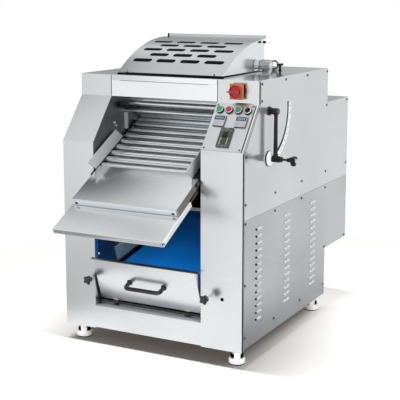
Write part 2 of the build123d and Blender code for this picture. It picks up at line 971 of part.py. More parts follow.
def drum(axis):
    body = x_rod(belt_left, belt_right, *axis, drum_radius)
    return body + x_rod(wall_left - wall_plate, wall_right + wall_plate, *axis, drum_journal)


def belt_guides():
    """Side plates on the walls, just over the belt's edges."""
    along = angle_between(front_drum, rear_drum)
    over = (drum_radius + belt_thickness) / math.cos(along) + belt_guide_over
    ends = (front_drum[0] + belt_guide_start, rear_drum[0] - belt_guide_end)
    low = [front_drum[1] + (y - front_drum[0]) * math.tan(along) + over for y in ends]
    corners = list(zip(ends, low))
    corners.append((ends[1] - belt_guide_lean, low[1] + belt_guide_height))
    corners.append((ends[0] - belt_guide_lean, low[0] + belt_guide_height))
    left = prism(corners, wall_left, wall_left + belt_guide_plate)
    return group([left, prism(corners, wall_right - belt_guide_plate, wall_right)])


# Gap lever

def gap_shaft():
    """Cross shaft with a cam in each yoke."""
    left = wall_left - wall_plate - run_gap - block_cap
    right = wall_right + wall_plate + run_gap
    shaft = x_rod(left, half + run_gap, lever_y, lever_z, lever_shaft_radius)
    turn = table_rad - math.radians(lever_swing / 2)
    cam_y = lever_y + cam_throw * math.cos(turn)
    cam_z = lever_z + cam_throw * math.sin(turn)
    for x in (left, right):
        shaft += x_rod(x, x + block_cap, cam_y, cam_z, cam_radius)
    return shaft


def gap_lever():
    """Arm between two hubs, the lower one bored for the clamp screw."""
    x0 = half + run_gap
    arm_x = x0 + lever_hub_length - lever_hub_radius
    foot_x = (arm_x - lever_foot_inside, arm_x - lever_foot_inside + lever_foot_length)
    lever = x_rod(x0, x0 + lever_hub_length, lever_y, lever_z, lever_hub_radius)
    collar = lever_hub_radius + lever_collar
    lever += x_rod(x0, x0 + lever_collar_width, lever_y, lever_z, collar)
    lever += z_rod(arm_x, lever_y, lever_foot_z, lever_z, lever_arm_radius)
    lever += x_rod(*foot_x, lever_y, lever_foot_z, lever_hub_radius)
    return lever - x_rod(*foot_x, lever_y, lever_foot_z, clamp_screw_radius + shaft_gap)


def clamp_knob():
    """Clamp screw of the lever, with its inner nut, disc and lobed knob."""
    y, z = lever_y, lever_foot_z
    nut_end = half - sheet - run_gap
    disc_start = half + run_gap
    knob_x = half + clamp_knob_reach - clamp_knob_width
    screw = x_rod(nut_end - clamp_nut, knob_x, y, z, clamp_screw_radius)
    screw += x_rod(nut_end - clamp_nut, nut_end, y, z, clamp_nut_radius)
    screw += x_rod(disc_start, disc_start + clamp_disc, y, z, clamp_disc_radius)
    screw += x_rod(knob_x - clamp_collar_length, knob_x, y, z, clamp_screw_radius + clamp_collar)
    head = lobed_knob(clamp_lobe_count, clamp_knob_radius, clamp_knob_width)
    return screw + Pos(knob_x, y, z) * Rot(0, 90, 0) * head


# Hood

def hood_point(radius, degrees):
    """Point on a circle round the hood's centre, turned forwards from its top."""
    turn = math.radians(degrees)
    return hood_centre[0] - radius * math.sin(turn), hood_centre[1] + radius * math.cos(turn)


def hood_arc(radius):
    ends = [hood_point(radius, hood_edge_angle * share) for share in (0, 0.5, 1)]
    return ThreePointArc(*ends)


def hood_slots():
    """Staggered rows of slots through the hood's front."""
    flat = SlotOverall(hood_slot_length, hood_slot_width)
    reach = hood_right - hood_left - 2 * hood_slot_margin - hood_slot_length
    pitch = reach / (hood_slot_columns - 1)
    cuts = []
    for row in range(hood_slot_rows):
        count = hood_slot_columns - row % 2
        turn = hood_slot_first - row * hood_slot_step
        y, z = hood_point(hood_radius, turn)
        for column in range(count):
            x = mid_x + (column - (count - 1) / 2) * pitch
            cuts.append(Pos(x, y, z) * Rot(turn, 0, 0) * extrude(flat, 3 * hood_sheet, both=True))
    return cuts


def hood_cover():
    """Curved slotted sheet with a turned-up lip along its top."""
    rim, lining = hood_arc(hood_radius), hood_arc(hood_radius - hood_sheet)
    ends = [Line(rim @ t, lining @ t) for t in (0, 1)]
    x0, x1 = hood_left + hood_sheet, hood_right - hood_sheet
    cover = curved_prism([rim, lining, *ends], x0, x1)
    y, z = hood_point(hood_radius, 0)
    lip_y = (y + hood_ledge, y + hood_ledge + hood_sheet)
    cover += block(x0, x1, y, lip_y[1], z - hood_sheet, z)
    lip_x = (hood_left + hood_lip_inset, hood_right + hood_lip_overhang)
    cover += block(*lip_x, *lip_y, z, z + hood_lip)
    return cover - hood_slots()


def hinge_ends(side):
    """Inner and outer end of a hinge bearing."""
    start = (open_right if side > 0 else open_left) + side * hinge_offset
    return start, start + side * hinge_length


def hood_cheek(side):
    """Side plate of the hood, with its boss and pivot pin."""
    outside = hood_right if side > 0 else hood_left
    across = sorted((outside, outside - side * hood_sheet))
    rim = hood_arc(hood_radius)
    base = top + hood_clear
    corners = [rim @ 1, (hood_pivot[0] + hinge_radius, base)]
    corners += [(hood_top_y, base + hood_tail_rise), rim @ 0]
    lines = [Line(corners[i], corners[i + 1]) for i in range(3)]
    cheek = curved_prism([rim, *lines], *across)
    boss = sorted((outside, outside + side * hood_boss_length))
    cheek += x_rod(*boss, *hood_pivot, hood_boss_radius)
    return cheek + x_rod(*sorted((outside, hinge_ends(side)[1])), *hood_pivot, hood_pin_radius)


def hood_cheeks():
    return group([hood_cheek(-1), hood_cheek(1)])


def hinge_bearings():
    """Round housings on the top plate that hold the hood's pins."""
    housings = []
    for side in (-1, 1):
        x0, x1 = sorted(hinge_ends(side))
        body = x_rod(x0, x1, *hood_pivot, hinge_radius)
        foot_x = (x0 + hinge_foot_inset, x1 - hinge_foot_inset)
        foot_y = (hood_pivot[0] - hinge_foot / 2, hood_pivot[0] + hinge_foot / 2)
        body += block(*foot_x, *foot_y, top, hood_pivot[1])
        housings.append(body - x_rod(x0, x1, *hood_pivot, hood_pin_radius + shaft_gap))
    return group(housings)


def lifting_eyes():
    y = hood_top_y + eye_behind_hood
    ring = Rot(90, 0, 0) * Torus(eye_radius, eye_wire)
    eyes = []
    for x in (open_left - eye_offset, open_right + eye_offset):
        eye = Pos(x, y, top + eye_foot + eye_radius) * ring
        eyes.append(eye + z_rod(x, y, top, top + eye_foot, eye_foot_radius))
    return group(eyes)


# Bin flap and its star knobs

def bin_flap():
    """Sheet that leans out of the opening, on two knuckles round its hinge rod."""
    panel = block(flap_left, flap_right, flap_start, flap_length, 0, sheet)
    for x in (flap_left, flap_right - sheet):
        panel += block(x, x + sheet, flap_start, flap_length, -flap_flange, 0)
    rim_x = (flap_left - flap_rim_overhang, flap_right + flap_rim_overhang)
    panel += block(*rim_x, flap_length, flap_length + sheet, -flap_rim, sheet)
    inset = flap_knuckle_inset
    for x in (flap_left + inset, flap_right - inset - flap_knuckle_length):
        panel += x_rod(x, x + flap_knuckle_length, 0, 0, flap_rod_radius + flap_knuckle)
        panel += block(x, x + flap_knuckle_length, 0, flap_start, 0, sheet)
    return flap * (panel - x_rod(flap_left, flap_right, 0, 0, flap_rod_radius + shaft_gap))


def flap_rod():
    return x_rod(wall_left - wall_plate, wall_right + wall_plate, *flap_pivot, flap_rod_radius)


def flap_handle():
    """Bow handle on two feet."""
    span, reach = handle_span / 2, sheet + handle_reach
    corners = [(-span, sheet), (-span, reach), (span, reach), (span, sheet)]
    corners = [(mid_x + x, handle_run, z) for x, z in corners]
    path = FilletPolyline(*corners, radius=handle_bend)
    ring = Plane(origin=path @ 0, z_dir=path % 0) * Circle(handle_radius)
    return flap * sweep(ring, path=path)


def star_knob(x, reach):
    """Lobed knob on a screw through the pillar's sheet, with a nut behind it."""
    face = -reach + knob_thickness
    nut_y = (sheet + run_gap, sheet + run_gap + knob_nut)
    head = lobed_knob(knob_lobe_count, knob_radius, knob_thickness)
    knob = Pos(x, face, knob_z) * Rot(90, 0, 0) * head
    knob += y_rod(x, knob_z, face, face + knob_collar_length, clamp_screw_radius + knob_collar)
    knob += y_rod(x, knob_z, face, nut_y[1], clamp_screw_radius)
    return knob + y_rod(x, knob_z, *nut_y, clamp_nut_radius)


# Controls

def on_panel(x, run, low, high, radius):
    """Round bar square to the control panel, measured from its outer face."""
    return slant * z_rod(x, run, panel_plate + low, panel_plate + high, radius)


def panel_block(x, run, width, length, low, high):
    """Box square to the control panel, measured from its outer face."""
    across = (x - width / 2, x + width / 2)
    along = (run - length / 2, run + length / 2)
    return slant * block(*across, *along, panel_plate + low, panel_plate + high)


def control_panel():
    run = (panel_end_gap, slant_length - panel_end_gap)
    plate = slant * block(panel_left, panel_right, *run, 0, panel_plate)
    for x in button_places:
        plate -= on_panel(x, button_row, -panel_plate, 0, button_radius)
    hole = counter_side - 2 * counter_rim
    for x in counter_places:
        plate -= panel_block(x, counter_row, hole, hole, -panel_plate, 0)
    return plate


def button_bezels():
    """Collars of the push and turn switches, with their bodies behind the plate."""
    rings = []
    for x in button_places:
        ring = on_panel(x, button_row, 0, bezel_height, bezel_radius)
        ring += on_panel(x, button_row, -switch_body, 0, button_radius - run_gap)
        ring -= on_panel(x, button_row, bezel_floor, bezel_height, button_radius + run_gap)
        rings.append(ring - on_panel(x, button_row, -switch_well, bezel_floor, button_stem + run_gap))
    return group(rings)


def push_button(x):
    low = bezel_floor + button_travel + run_gap
    cap = on_panel(x, button_row, low, bezel_height + button_proud, button_radius)
    return cap + on_panel(x, button_row, -button_stem_length, low, button_stem)


def selector_knob(x):
    cap_top = bezel_height + selector_cap
    grip = (selector_grip_width, selector_grip_length)
    knob = on_panel(x, button_row, bezel_floor + run_gap, cap_top, button_radius)
    knob += on_panel(x, button_row, -button_stem_length, cap_top, button_stem)
    return knob + panel_block(x, button_row, *grip, bezel_height, bezel_height + selector_grip_height)


def counters():
    cases = []
    body = counter_side - 2 * counter_rim - 2 * run_gap
    for x in counter_places:
        case = panel_block(x, counter_row, counter_side, counter_side, 0, counter_proud)
        cases.append(case + panel_block(x, counter_row, body, body, -counter_depth, 0))
    return group(cases)


def keypad():
    low = keypad_base
    high = counter_row - counter_side / 2 - keypad_gap
    return panel_block(panel_x, (low + high) / 2, keypad_width, high - low, 0, keypad_plate)


def switch_plate():
    width, height = switch_width / 2, switch_height / 2
    depth = (slant_setback - switch_depth, slant_setback)
    across = (switch_x - width, switch_x + width)
    base = block(*across, *depth, switch_z - height, switch_z + height)
    return base - y_rod(switch_x, switch_z, *depth, switch_stem + run_gap)


def switch_knob():
    """Turning knob with a pointer, on a stem through the plate and the front sheet."""
    face = slant_setback - switch_depth - run_gap
    front = face - switch_knob_plate
    grip_z = (switch_z - switch_grip_width / 2, switch_z + switch_grip_width / 2)
    knob = y_rod(switch_x, switch_z, front, face, switch_knob_radius)
    knob += block(switch_x - switch_pointer, switch_x + switch_tail, front - switch_grip, front, *grip_z)
    return knob + y_rod(switch_x, switch_z, face, slant_setback + sheet, switch_stem)


def cable_gland():
    """Cable entry through the rear panel, open along its bore."""
    face = body_depth - sheet
    inside = face - gland_nut
    outside = body_depth + gland_length
    gland = y_rod(gland_x, gland_z, body_depth, outside, gland_radius)
    gland += y_rod(gland_x, gland_z, inside, body_depth, gland_bore + gland_wall)
    gland += y_rod(gland_x, gland_z, inside, face, gland_radius)
    return gland - y_rod(gland_x, gland_z, inside, outside, gland_bore)


def assembly():
    """Every piece by name, before the origin is set."""
    built = {
        "base_frame": base_frame(),
        "wall_plates": wall_plates(),
        "left_front_cover": left_front_cover(),
        "right_front_cover": right_front_cover(),
        "lower_front_panel": lower_front_panel(),
        "front_fascia": front_fascia(),
        "right_upper_panel": right_upper_panel(),
        "right_lower_panel": right_lower_panel(),
        "left_side_panel": left_side_panel(),
        "top_plate": top_plate(),
        "rear_covers": rear_covers(),
        "panel_screws": panel_screws(),
        "feet": feet(),
        "roll_bearings": roll_bearings(),
        "scrapers": scrapers(),
        "table_rails": table_rails(),
        "upper_tray": upper_tray(),
        "lower_tray": lower_tray(),
        "conveyor_belt": conveyor_belt(),
        "belt_guides": belt_guides(),
        "front_drum": drum(front_drum),
        "rear_drum": drum(rear_drum),
        "geared_motor": group([gearbox(), main_motor()]),
        "drive_pinion": drive_pinion(),
        "lower_roll": press_roll(lower_axis),
        "lower_roll_gear": lower_roll_gear(),
        "upper_roll": press_roll(upper_axis),
        "upper_roll_gear": upper_roll_gear(),
        "bearing_blocks": bearing_blocks(),
        "gap_shaft": gap_shaft(),
        "gap_lever": gap_lever(),
        "clamp_knob": clamp_knob(),
        "hood_cover": hood_cover(),
        "hood_cheeks": hood_cheeks(),
        "hinge_bearings": hinge_bearings(),
        "lifting_eyes": lifting_eyes(),
        "bin_flap": bin_flap(),
        "flap_rod": flap_rod(),
        "flap_handle": flap_handle(),
        "left_star_knob": star_knob(left_knob_x, left_knob_reach),
        "right_star_knob": star_knob(right_knob_x, right_knob_reach),
        "control_panel": control_panel(),
        "button_bezels": button_bezels(),
        "start_button": push_button(button_places[0]),
        "stop_button": push_button(button_places[1]),
        "jog_button": push_button(button_places[2]),
        "selector_knob": selector_knob(button_places[3]),
        "counters": counters(),
        "keypad": keypad(),
        "switch_plate": switch_plate(),
        "switch_knob": switch_knob(),
        "cable_gland": cable_gland(),
    }
    for number, run in enumerate(reversed(roller_runs), start=1):
        built[f"table_roller_{number}"] = table_roller(run)
    return built


def origin_shift(built):
    """Move that puts the middle of the machine's box over the origin."""
    boxes = [piece.bounding_box() for piece in built.values()]
    x = min(b.min.X for b in boxes) + max(b.max.X for b in boxes)
    y = min(b.min.Y for b in boxes) + max(b.max.Y for b in boxes)
    return Pos(-x / 2, -y / 2, -min(b.min.Z for b in boxes))


pieces = assembly()
shift = origin_shift(pieces)

if __name__ == "__main__":
    os.makedirs("parts", exist_ok=True)
    for name, piece in pieces.items():
        export_step(shift * piece, f"parts/{name}.step")
    print(len(pieces), "pieces")
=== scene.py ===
import bpy
import bmesh
import math
from mathutils import Matrix, Vector


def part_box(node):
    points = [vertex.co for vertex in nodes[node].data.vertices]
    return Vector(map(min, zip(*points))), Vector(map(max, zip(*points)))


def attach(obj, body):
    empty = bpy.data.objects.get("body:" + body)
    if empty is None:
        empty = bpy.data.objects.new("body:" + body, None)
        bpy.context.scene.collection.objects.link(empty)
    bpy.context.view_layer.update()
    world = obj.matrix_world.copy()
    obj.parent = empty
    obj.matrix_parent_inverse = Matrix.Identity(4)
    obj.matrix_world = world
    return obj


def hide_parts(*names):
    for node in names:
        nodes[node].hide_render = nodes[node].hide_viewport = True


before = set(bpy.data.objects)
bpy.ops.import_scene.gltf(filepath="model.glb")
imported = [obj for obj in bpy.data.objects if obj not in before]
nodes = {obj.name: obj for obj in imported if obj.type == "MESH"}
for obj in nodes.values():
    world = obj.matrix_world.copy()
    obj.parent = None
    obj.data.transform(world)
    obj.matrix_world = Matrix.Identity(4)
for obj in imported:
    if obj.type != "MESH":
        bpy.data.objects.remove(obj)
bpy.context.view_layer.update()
scene = bpy.context.scene


def at(x, y, z):
    return Matrix.Translation((x, y, z))


# pieces are drawn in millimetres: x from the middle of the casing, y from the front sheet, z from the floor
casing = {
    "half": 410, "low": 66.5, "high": 1113, "top": 1115.5,
    "slantFoot": 850, "slantHead": 1027, "setback": 143.5, "openLeft": -263, "openMiddle": -16,
}
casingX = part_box("left_side_panel")[0].x + casing["half"] / 1000
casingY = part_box("left_front_cover")[0].y
toWorld = at(casingX, casingY, 0) @ Matrix.Scale(0.001, 4)


def leaning(origin, degrees):
    return at(*origin) @ Matrix.Rotation(math.radians(degrees), 4, "X")


slantAngle = math.degrees(math.atan2(casing["slantHead"] - casing["slantFoot"], casing["setback"]))
# in these x is across and y up the control panel, the roller table or the flap, and z is off it
panelFrame = leaning((0, 0, casing["slantFoot"]), slantAngle)
tableFrame = leaning((0, 0, 738), 27.3)
flapFrame = leaning((0, 40, 178), 90 + 19.5)
alongX = Matrix.Rotation(math.radians(90), 4, "Y")
alongFront = Matrix.Rotation(math.radians(90), 4, "X")
print("frame loaded,", len(nodes), "nodes")


# materials

def wire(tree, kind, inputs=None, **settings):
    # one node; an input that is itself a node is joined to that node's first output
    node = tree.nodes.new("ShaderNode" + kind)
    for key, value in settings.items():
        setattr(node, key, value)
    for key, value in (inputs or {}).items():
        if isinstance(value, bpy.types.Node):
            value = value.outputs[0]
        if isinstance(value, bpy.types.NodeSocket):
            tree.links.new(value, node.inputs[key])
        else:
            node.inputs[key].default_value = value
    return node


def bareTree(owner):
    owner.use_nodes = True
    owner.node_tree.nodes.clear()
    return owner.node_tree


def noise(tree, place, scale, detail=2, rough=0.5):
    return wire(tree, "TexNoise", {"Vector": place, "Scale": scale, "Detail": detail, "Roughness": rough})


def sums(tree, operation, first, second):
    return wire(tree, "Math", {0: first, 1: second}, operation=operation)


def toneRamp(tree, value, low, high):
    ramp = wire(tree, "ValToRGB", {"Fac": value})
    for element, position, colour in zip(ramp.color_ramp.elements, (0.35, 0.65), (low, high)):
        element.position = position
        element.color = (*colour, 1)
    return ramp


def unevenGloss(tree, value, rough, swing):
    reach = {"From Min": 0.3, "From Max": 0.7, "To Min": rough - swing, "To Max": rough + swing}
    return wire(tree, "MapRange", {"Value": value, **reach})


def relief(tree, height, strength):
    return wire(tree, "Bump", {"Height": height, "Strength": strength, "Distance": 0.0003})


# scales of the noise that draws the lines: from side to side, upright, from front to back, and round an axis
across = (30, 900, 900)
upright = (900, 900, 30)
fore = (900, 30, 900)
turnedLines = (420, 6, 6)


def metal(tree, place, look):
    # rolled or turned metal: soft clouds in the tone, fine lines in the gloss
    lines = wire(tree, "Mapping", {"Vector": place, "Scale": look.get("lines", across)})
    grain = noise(tree, lines, 1, 3, 0.6)
    cloud = noise(tree, place, look.get("cloud", 3))
    sockets = {
        "Base Color": toneRamp(tree, cloud, look["low"], look["high"]),
        "Roughness": unevenGloss(tree, grain, look["rough"], look.get("swing", 0.03)),
        "Normal": relief(tree, grain, look.get("bump", 0.02)),
        "Metallic": look.get("metal", 1),
    }
    if "brush" in look:
        # turning marks run round the axis, so what is mirrored spreads along it
        sockets["Tangent"] = wire(tree, "Tangent", direction_type="RADIAL", axis="X")
        sockets["Anisotropic"] = look["brush"]
        sockets["Anisotropic Rotation"] = 0.25
    return sockets


def moulded(tree, place, look):
    # plastic, rubber or paint: a fine moulded grain and slightly uneven gloss
    grain = noise(tree, place, look.get("grain", 900), 2, 0.6)
    cloud = noise(tree, place, look.get("cloud", 25), 3, 0.55)
    return {
        "Base Color": toneRamp(tree, cloud, look["low"], look["high"]),
        "Roughness": unevenGloss(tree, cloud, look["rough"], 0.05),
        "Normal": relief(tree, grain, look.get("bump", 0.1)),
        "Coat Weight": look.get("coat", 0),
        "Specular IOR Level": look.get("shine", 0.5),
    }


def woven(tree, place, look):
    # smooth conveyor belt with the fabric's crossed threads showing faintly
    threads = {"Vector": place, "Scale": look["threads"]}
    warp = wire(tree, "TexWave", threads, wave_type="BANDS", bands_direction="X")
    weft = wire(tree, "TexWave", threads, wave_type="BANDS", bands_direction="Y")
    weave = sums(tree, "MULTIPLY", warp.outputs["Fac"], weft.outputs["Fac"])
    cloud = noise(tree, place, 5, 3)
    return {
        "Base Color": toneRamp(tree, cloud, look["low"], look["high"]),
        "Roughness": unevenGloss(tree, cloud, look["rough"], 0.06),
        "Normal": relief(tree, weave, 0.12),
    }


def finishOf(name, look, draw):
    material = bpy.data.materials.new(name)
    tree = bareTree(material)
    place = wire(tree, "TexCoord").outputs["Object"]
    shader = wire(tree, "BsdfPrincipled", draw(tree, place, look))
    wire(tree, "OutputMaterial", {"Surface": shader})
    return material


def grey(value, warm=0):
    return (value + warm, value, value - warm)


def tinted(low, high, **rest):
    return {"low": low, "high": high, **rest}


def steel(low, high, **rest):
    # stainless is a little blue
    low, high = ((value * 0.975, value, value * 1.02) for value in (low, high))
    return tinted(low, high, **rest)


def plain(low, high, warm=0, **rest):
    return tinted(grey(low, warm), grey(high, warm), **rest)


metalLook = {
    "frontSteel": steel(0.75, 0.8, rough=0.26, swing=0.003, cloud=2.2, bump=0.0002),
    "fasciaAndLitFaceSteel": steel(0.92, 0.96, rough=0.2, swing=0.008, cloud=2.2, bump=0.001),
    "sideSteel": steel(0.56, 0.61, rough=0.17, metal=0.72, swing=0.02, lines=fore, cloud=2, bump=0.001),
    "doorAndShadedFaceSteel": steel(0.43, 0.49, rough=0.2, swing=0.02, lines=fore, cloud=2.4, bump=0.001),
    "topSteel": steel(0.66, 0.72, rough=0.12, bump=0.01),
    "hoodSteel": steel(0.57, 0.63, rough=0.24, bump=0.01),
    "traySteel": steel(0.74, 0.8, rough=0.17, cloud=3.5, bump=0.01),
    "lipSteel": steel(0.86, 0.91, rough=0.3, cloud=3.5, bump=0.005),
    # the inner walls' steel is toned far down, painted shade for the inside of the opening
    "shadedWallSteel": steel(0.2, 0.27, rough=0.5, lines=upright, cloud=6),
    "railSteel": steel(0.55, 0.64, rough=0.32, lines=fore, cloud=8),
    "rollerSteel": steel(0.68, 0.75, rough=0.22, brush=0.9, bump=0.008, lines=turnedLines, cloud=6),
    "rollSteel": steel(0.9, 0.95, rough=0.22, brush=0.9, lines=turnedLines, bump=0.01),
    "brightSteel": steel(0.66, 0.74, rough=0.14, swing=0.04, cloud=20),
    "panelSteel": steel(0.68, 0.73, rough=0.4, cloud=12, bump=0.008),
    # screw heads are toned dark: painted dark reflection of their bright steel
    "screwSteelDarkReflection": plain(0.2, 0.3, rough=0.35, cloud=90),
    "gearSteel": plain(0.18, 0.26, rough=0.35, lines=turnedLines, cloud=30),
    "brassNut": tinted((0.62, 0.42, 0.18), (0.74, 0.53, 0.26), rough=0.3, lines=turnedLines, cloud=60),
    "chrome": plain(0.72, 0.8, rough=0.08, swing=0.02, lines=turnedLines, bump=0.01),
    "flapSteel": steel(0.72, 0.78, rough=0.3, bump=0.008),
    "rimAndShadedSideSteel": plain(0.2, 0.26, 0.01, rough=0.4, cloud=12),
    "darkChrome": plain(0.055, 0.08, rough=0.16, cloud=30),
    "louvreSteel": steel(0.62, 0.68, rough=0.26, lines=fore, cloud=12),
    "guideSteel": steel(0.62, 0.68, rough=0.5, metal=0.3, lines=fore, cloud=5),
}
mouldedLook = {
    "framePaint": plain(0.3, 0.36, rough=0.45, grain=300),
    "motorPaint": tinted((0.11, 0.16, 0.21), (0.15, 0.21, 0.27), rough=0.4, grain=300),
    "blackPlastic": plain(0.006, 0.013, rough=0.36, bump=0.2, shine=0.25),
    "blackLever": plain(0.003, 0.007, rough=0.2, grain=500, bump=0.04, shine=0.36),
    "blackRubber": plain(0.002, 0.006, rough=0.6, bump=0.2, shine=0.03),
    "whitePlastic": plain(0.93, 0.97, 0.003, rough=0.42),
    "greenCap": tinted((0.005, 0.22, 0.1), (0.01, 0.3, 0.14), rough=0.28, coat=0.3),
    "redCap": tinted((0.36, 0.01, 0.022), (0.48, 0.018, 0.032), rough=0.28, coat=0.3),
    "orangePlate": tinted((0.46, 0.15, 0.02), (0.56, 0.2, 0.03), rough=0.35, coat=0.15),
    "darkCase": plain(0.035, 0.055, rough=0.42),
    "keypadFilm": tinted((0.035, 0.045, 0.042), (0.06, 0.07, 0.066), rough=0.36),
    "keyMarks": tinted((0.42, 0.44, 0.04), (0.55, 0.56, 0.07), rough=0.4),
    "caseGrey": plain(0.42, 0.5, rough=0.38),
    "displayBlue": tinted((0.02, 0.045, 0.09), (0.035, 0.07, 0.13), rough=0.18, coat=0.5),
    "scaleWhite": plain(0.8, 0.86, rough=0.4),
    "starGrey": plain(0.018, 0.035, rough=0.26),
    "collarPaintedLitWhite": plain(0.72, 0.8, rough=0.3),
    "counterFace": plain(0.42, 0.48, rough=0.36),
    "displayPale": tinted((0.16, 0.26, 0.3), (0.24, 0.36, 0.4), rough=0.25),
    "keyGrey": plain(0.3, 0.38, rough=0.4),
    "screenNavy": tinted((0.012, 0.014, 0.035), (0.02, 0.024, 0.055), rough=0.2, coat=0.5),
    "markPale": plain(0.38, 0.48, rough=0.45),
    "guidePaint": tinted((0.1, 0.15, 0.17), (0.14, 0.2, 0.22), rough=0.5, grain=300),
    "scaleInk": plain(0.03, 0.05, rough=0.5),
}
beltLook = tinted((0.001, 0.105, 0.4), (0.003, 0.145, 0.5), rough=0.38, threads=160)
finishes = {name: finishOf(name, look, metal) for name, look in metalLook.items()}
finishes.update({name: finishOf(name, look, moulded) for name, look in mouldedLook.items()})
finishes["blueBelt"] = finishOf("blueBelt", beltLook, woven)
print("finishes made,", len(finishes))

finishNodes = {
    "framePaint": ["base_frame"],
    "shadedWallSteel": ["wall_plates"],
    "guidePaint": ["belt_guides"],
    "frontSteel": ["left_front_cover", "right_front_cover", "lower_front_panel"],
    "fasciaAndLitFaceSteel": ["front_fascia"],
    "sideSteel": ["right_upper_panel", "left_side_panel"],
    "doorAndShadedFaceSteel": ["right_lower_panel", "rear_covers", "hinge_bearings"],
    "topSteel": ["top_plate"],
    # the panel screw heads take the dark chrome: painted dark reflection of their bright steel
    "darkChrome": ["panel_screws", "table_rails", "flap_rod", "flap_handle"],
    "whitePlastic": ["feet"],
    "gearSteel": [
        "roll_bearings", "drive_pinion", "lower_roll_gear", "upper_roll_gear",
        "bearing_blocks", "lifting_eyes",
    ],
    "brightSteel": ["scrapers", "gap_shaft"],
    "traySteel": ["upper_tray", "lower_tray", "hood_cheeks", "bin_flap"],
    "blueBelt": ["conveyor_belt"],
    "rollerSteel": ["front_drum", "rear_drum"],
    "motorPaint": ["geared_motor"],
    "rollSteel": ["lower_roll", "upper_roll"],
    "blackLever": ["gap_lever"],
    "blackPlastic": ["clamp_knob", "left_star_knob", "right_star_knob", "selector_knob", "cable_gland"],
    "hoodSteel": ["hood_cover"],
    "panelSteel": ["control_panel"],
    "collarPaintedLitWhite": ["button_bezels"],
    "greenCap": ["start_button", "jog_button"],
    "redCap": ["stop_button", "switch_knob"],
    "caseGrey": ["counters"],
    "keypadFilm": ["keypad"],
    "orangePlate": ["switch_plate"],
}
finishNodes["rollerSteel"] += [f"table_roller_{number}" for number in range(1, 9)]
for finish, names in finishNodes.items():
    for name in names:
        nodes[name].data.materials.clear()
        nodes[name].data.materials.append(finishes[finish])


# shape helpers

def meshOf(name, bm, matrix=None):
    if matrix is not None:
        bmesh.ops.transform(bm, matrix=matrix, verts=bm.verts)
    mesh = bpy.data.meshes.new(name)
    bm.to_mesh(mesh)
    bm.free()
    return mesh


def shown(name, data):
    item = bpy.data.objects.new(name, data)
    scene.collection.objects.link(item)
    return item


def paintFaces(part, index, test):
    for face in part.faces:
        if test(face):
            face.material_index = index


def joined(target, part, matrix=None, finish=0):
    # a finish of None keeps what the part's faces have
    if finish is not None:
        paintFaces(part, finish, lambda f: True)
    mesh = meshOf("part", part, matrix)
    target.from_mesh(mesh)
    bpy.data.meshes.remove(mesh)


def outward(part):
    bmesh.ops.recalc_face_normals(part, faces=part.faces)


def rounded(part, geom, offset, segments, affect="EDGES"):
    bmesh.ops.bevel(
        part, geom=geom, offset=offset, segments=segments, profile=0.5, affect=affect, material=-1,
    )


def moved(part, grown, way):
    # shifts the corners that an extrusion gave
    bmesh.ops.translate(part, vec=way, verts=[v for v in grown if isinstance(v, bmesh.types.BMVert)])


def softBox(size, bevel, segments=2):
    part = bmesh.new()
    bmesh.ops.create_cube(part, size=1)
    bmesh.ops.scale(part, vec=size, verts=part.verts)
    rounded(part, part.edges[:], bevel, segments)
    return part


def drawnLine(part, points):
    verts = [part.verts.new(point) for point in points]
    for pair in zip(verts, verts[1:]):
        part.edges.new(pair)
    return verts


def turned(profile, steps):
    # spins a list of radius and height round z
    part = bmesh.new()
    drawnLine(part, [(radius, 0, height) for radius, height in profile])
    around = {"cent": (0, 0, 0), "axis": (0, 0, 1), "angle": math.tau, "use_merge": True}
    bmesh.ops.spin(part, geom=part.edges[:] + part.verts[:], steps=steps, **around)
    bmesh.ops.remove_doubles(part, verts=part.verts, dist=0.0005)
    outward(part)
    return part


def lobedHead(radius, lobes, depth, thickness, bevel):
    part = bmesh.new()
    bmesh.ops.create_circle(part, cap_ends=True, radius=radius, segments=lobes * 12)
    for vert in part.verts:
        angle = math.atan2(vert.co.y, vert.co.x)
        vert.co *= 1 - depth * (0.5 - 0.5 * math.cos(lobes * angle)) ** 0.8
    top = bmesh.ops.extrude_face_region(part, geom=part.faces[:])["geom"]
    moved(part, top, (0, 0, thickness))
    rims = [e for e in part.edges if e.is_manifold and e.calc_face_angle() > 1.2]
    rounded(part, rims, bevel, 3)
    outward(part)
    return part


def bentSheet(outline, x0, x1, thickness, radius):
    # sheet drawn along an outline of y and z, with round bends
    part = bmesh.new()
    verts = drawnLine(part, [(x0, y, z) for y, z in outline])
    rounded(part, verts[1:-1], radius, 5, "VERTICES")
    grown = bmesh.ops.extrude_edge_only(part, edges=part.edges[:])["geom"]
    moved(part, grown, (x1 - x0, 0, 0))
    outward(part)
    bmesh.ops.solidify(part, geom=part.faces[:], thickness=thickness)
    return part


def flatPlate(x, outline, depth):
    # plate across x with an outline of y and z
    part = bmesh.new()
    face = part.faces.new([part.verts.new((x, y, z)) for y, z in outline])
    grown = bmesh.ops.extrude_face_region(part, geom=[face])["geom"]
    moved(part, grown, (depth, 0, 0))
    outward(part)
    return part


def finished(name, bm, body, materials, replaces=(), sharp=35, place=None):
    mesh = meshOf(name, bm, toWorld @ (place or Matrix()))
    for key in materials:
        mesh.materials.append(finishes[key])
    mesh.polygons.foreach_set("use_smooth", [True] * len(mesh.polygons))
    mesh.set_sharp_from_angle(angle=math.radians(sharp))
    piece = shown(name, mesh)
    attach(piece, body)
    if replaces:
        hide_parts(*replaces)
    return piece


def rubber(name, bm, body="frame", place=None):
    finished(name, bm, body, ["blackRubber"], place=place)


# feet

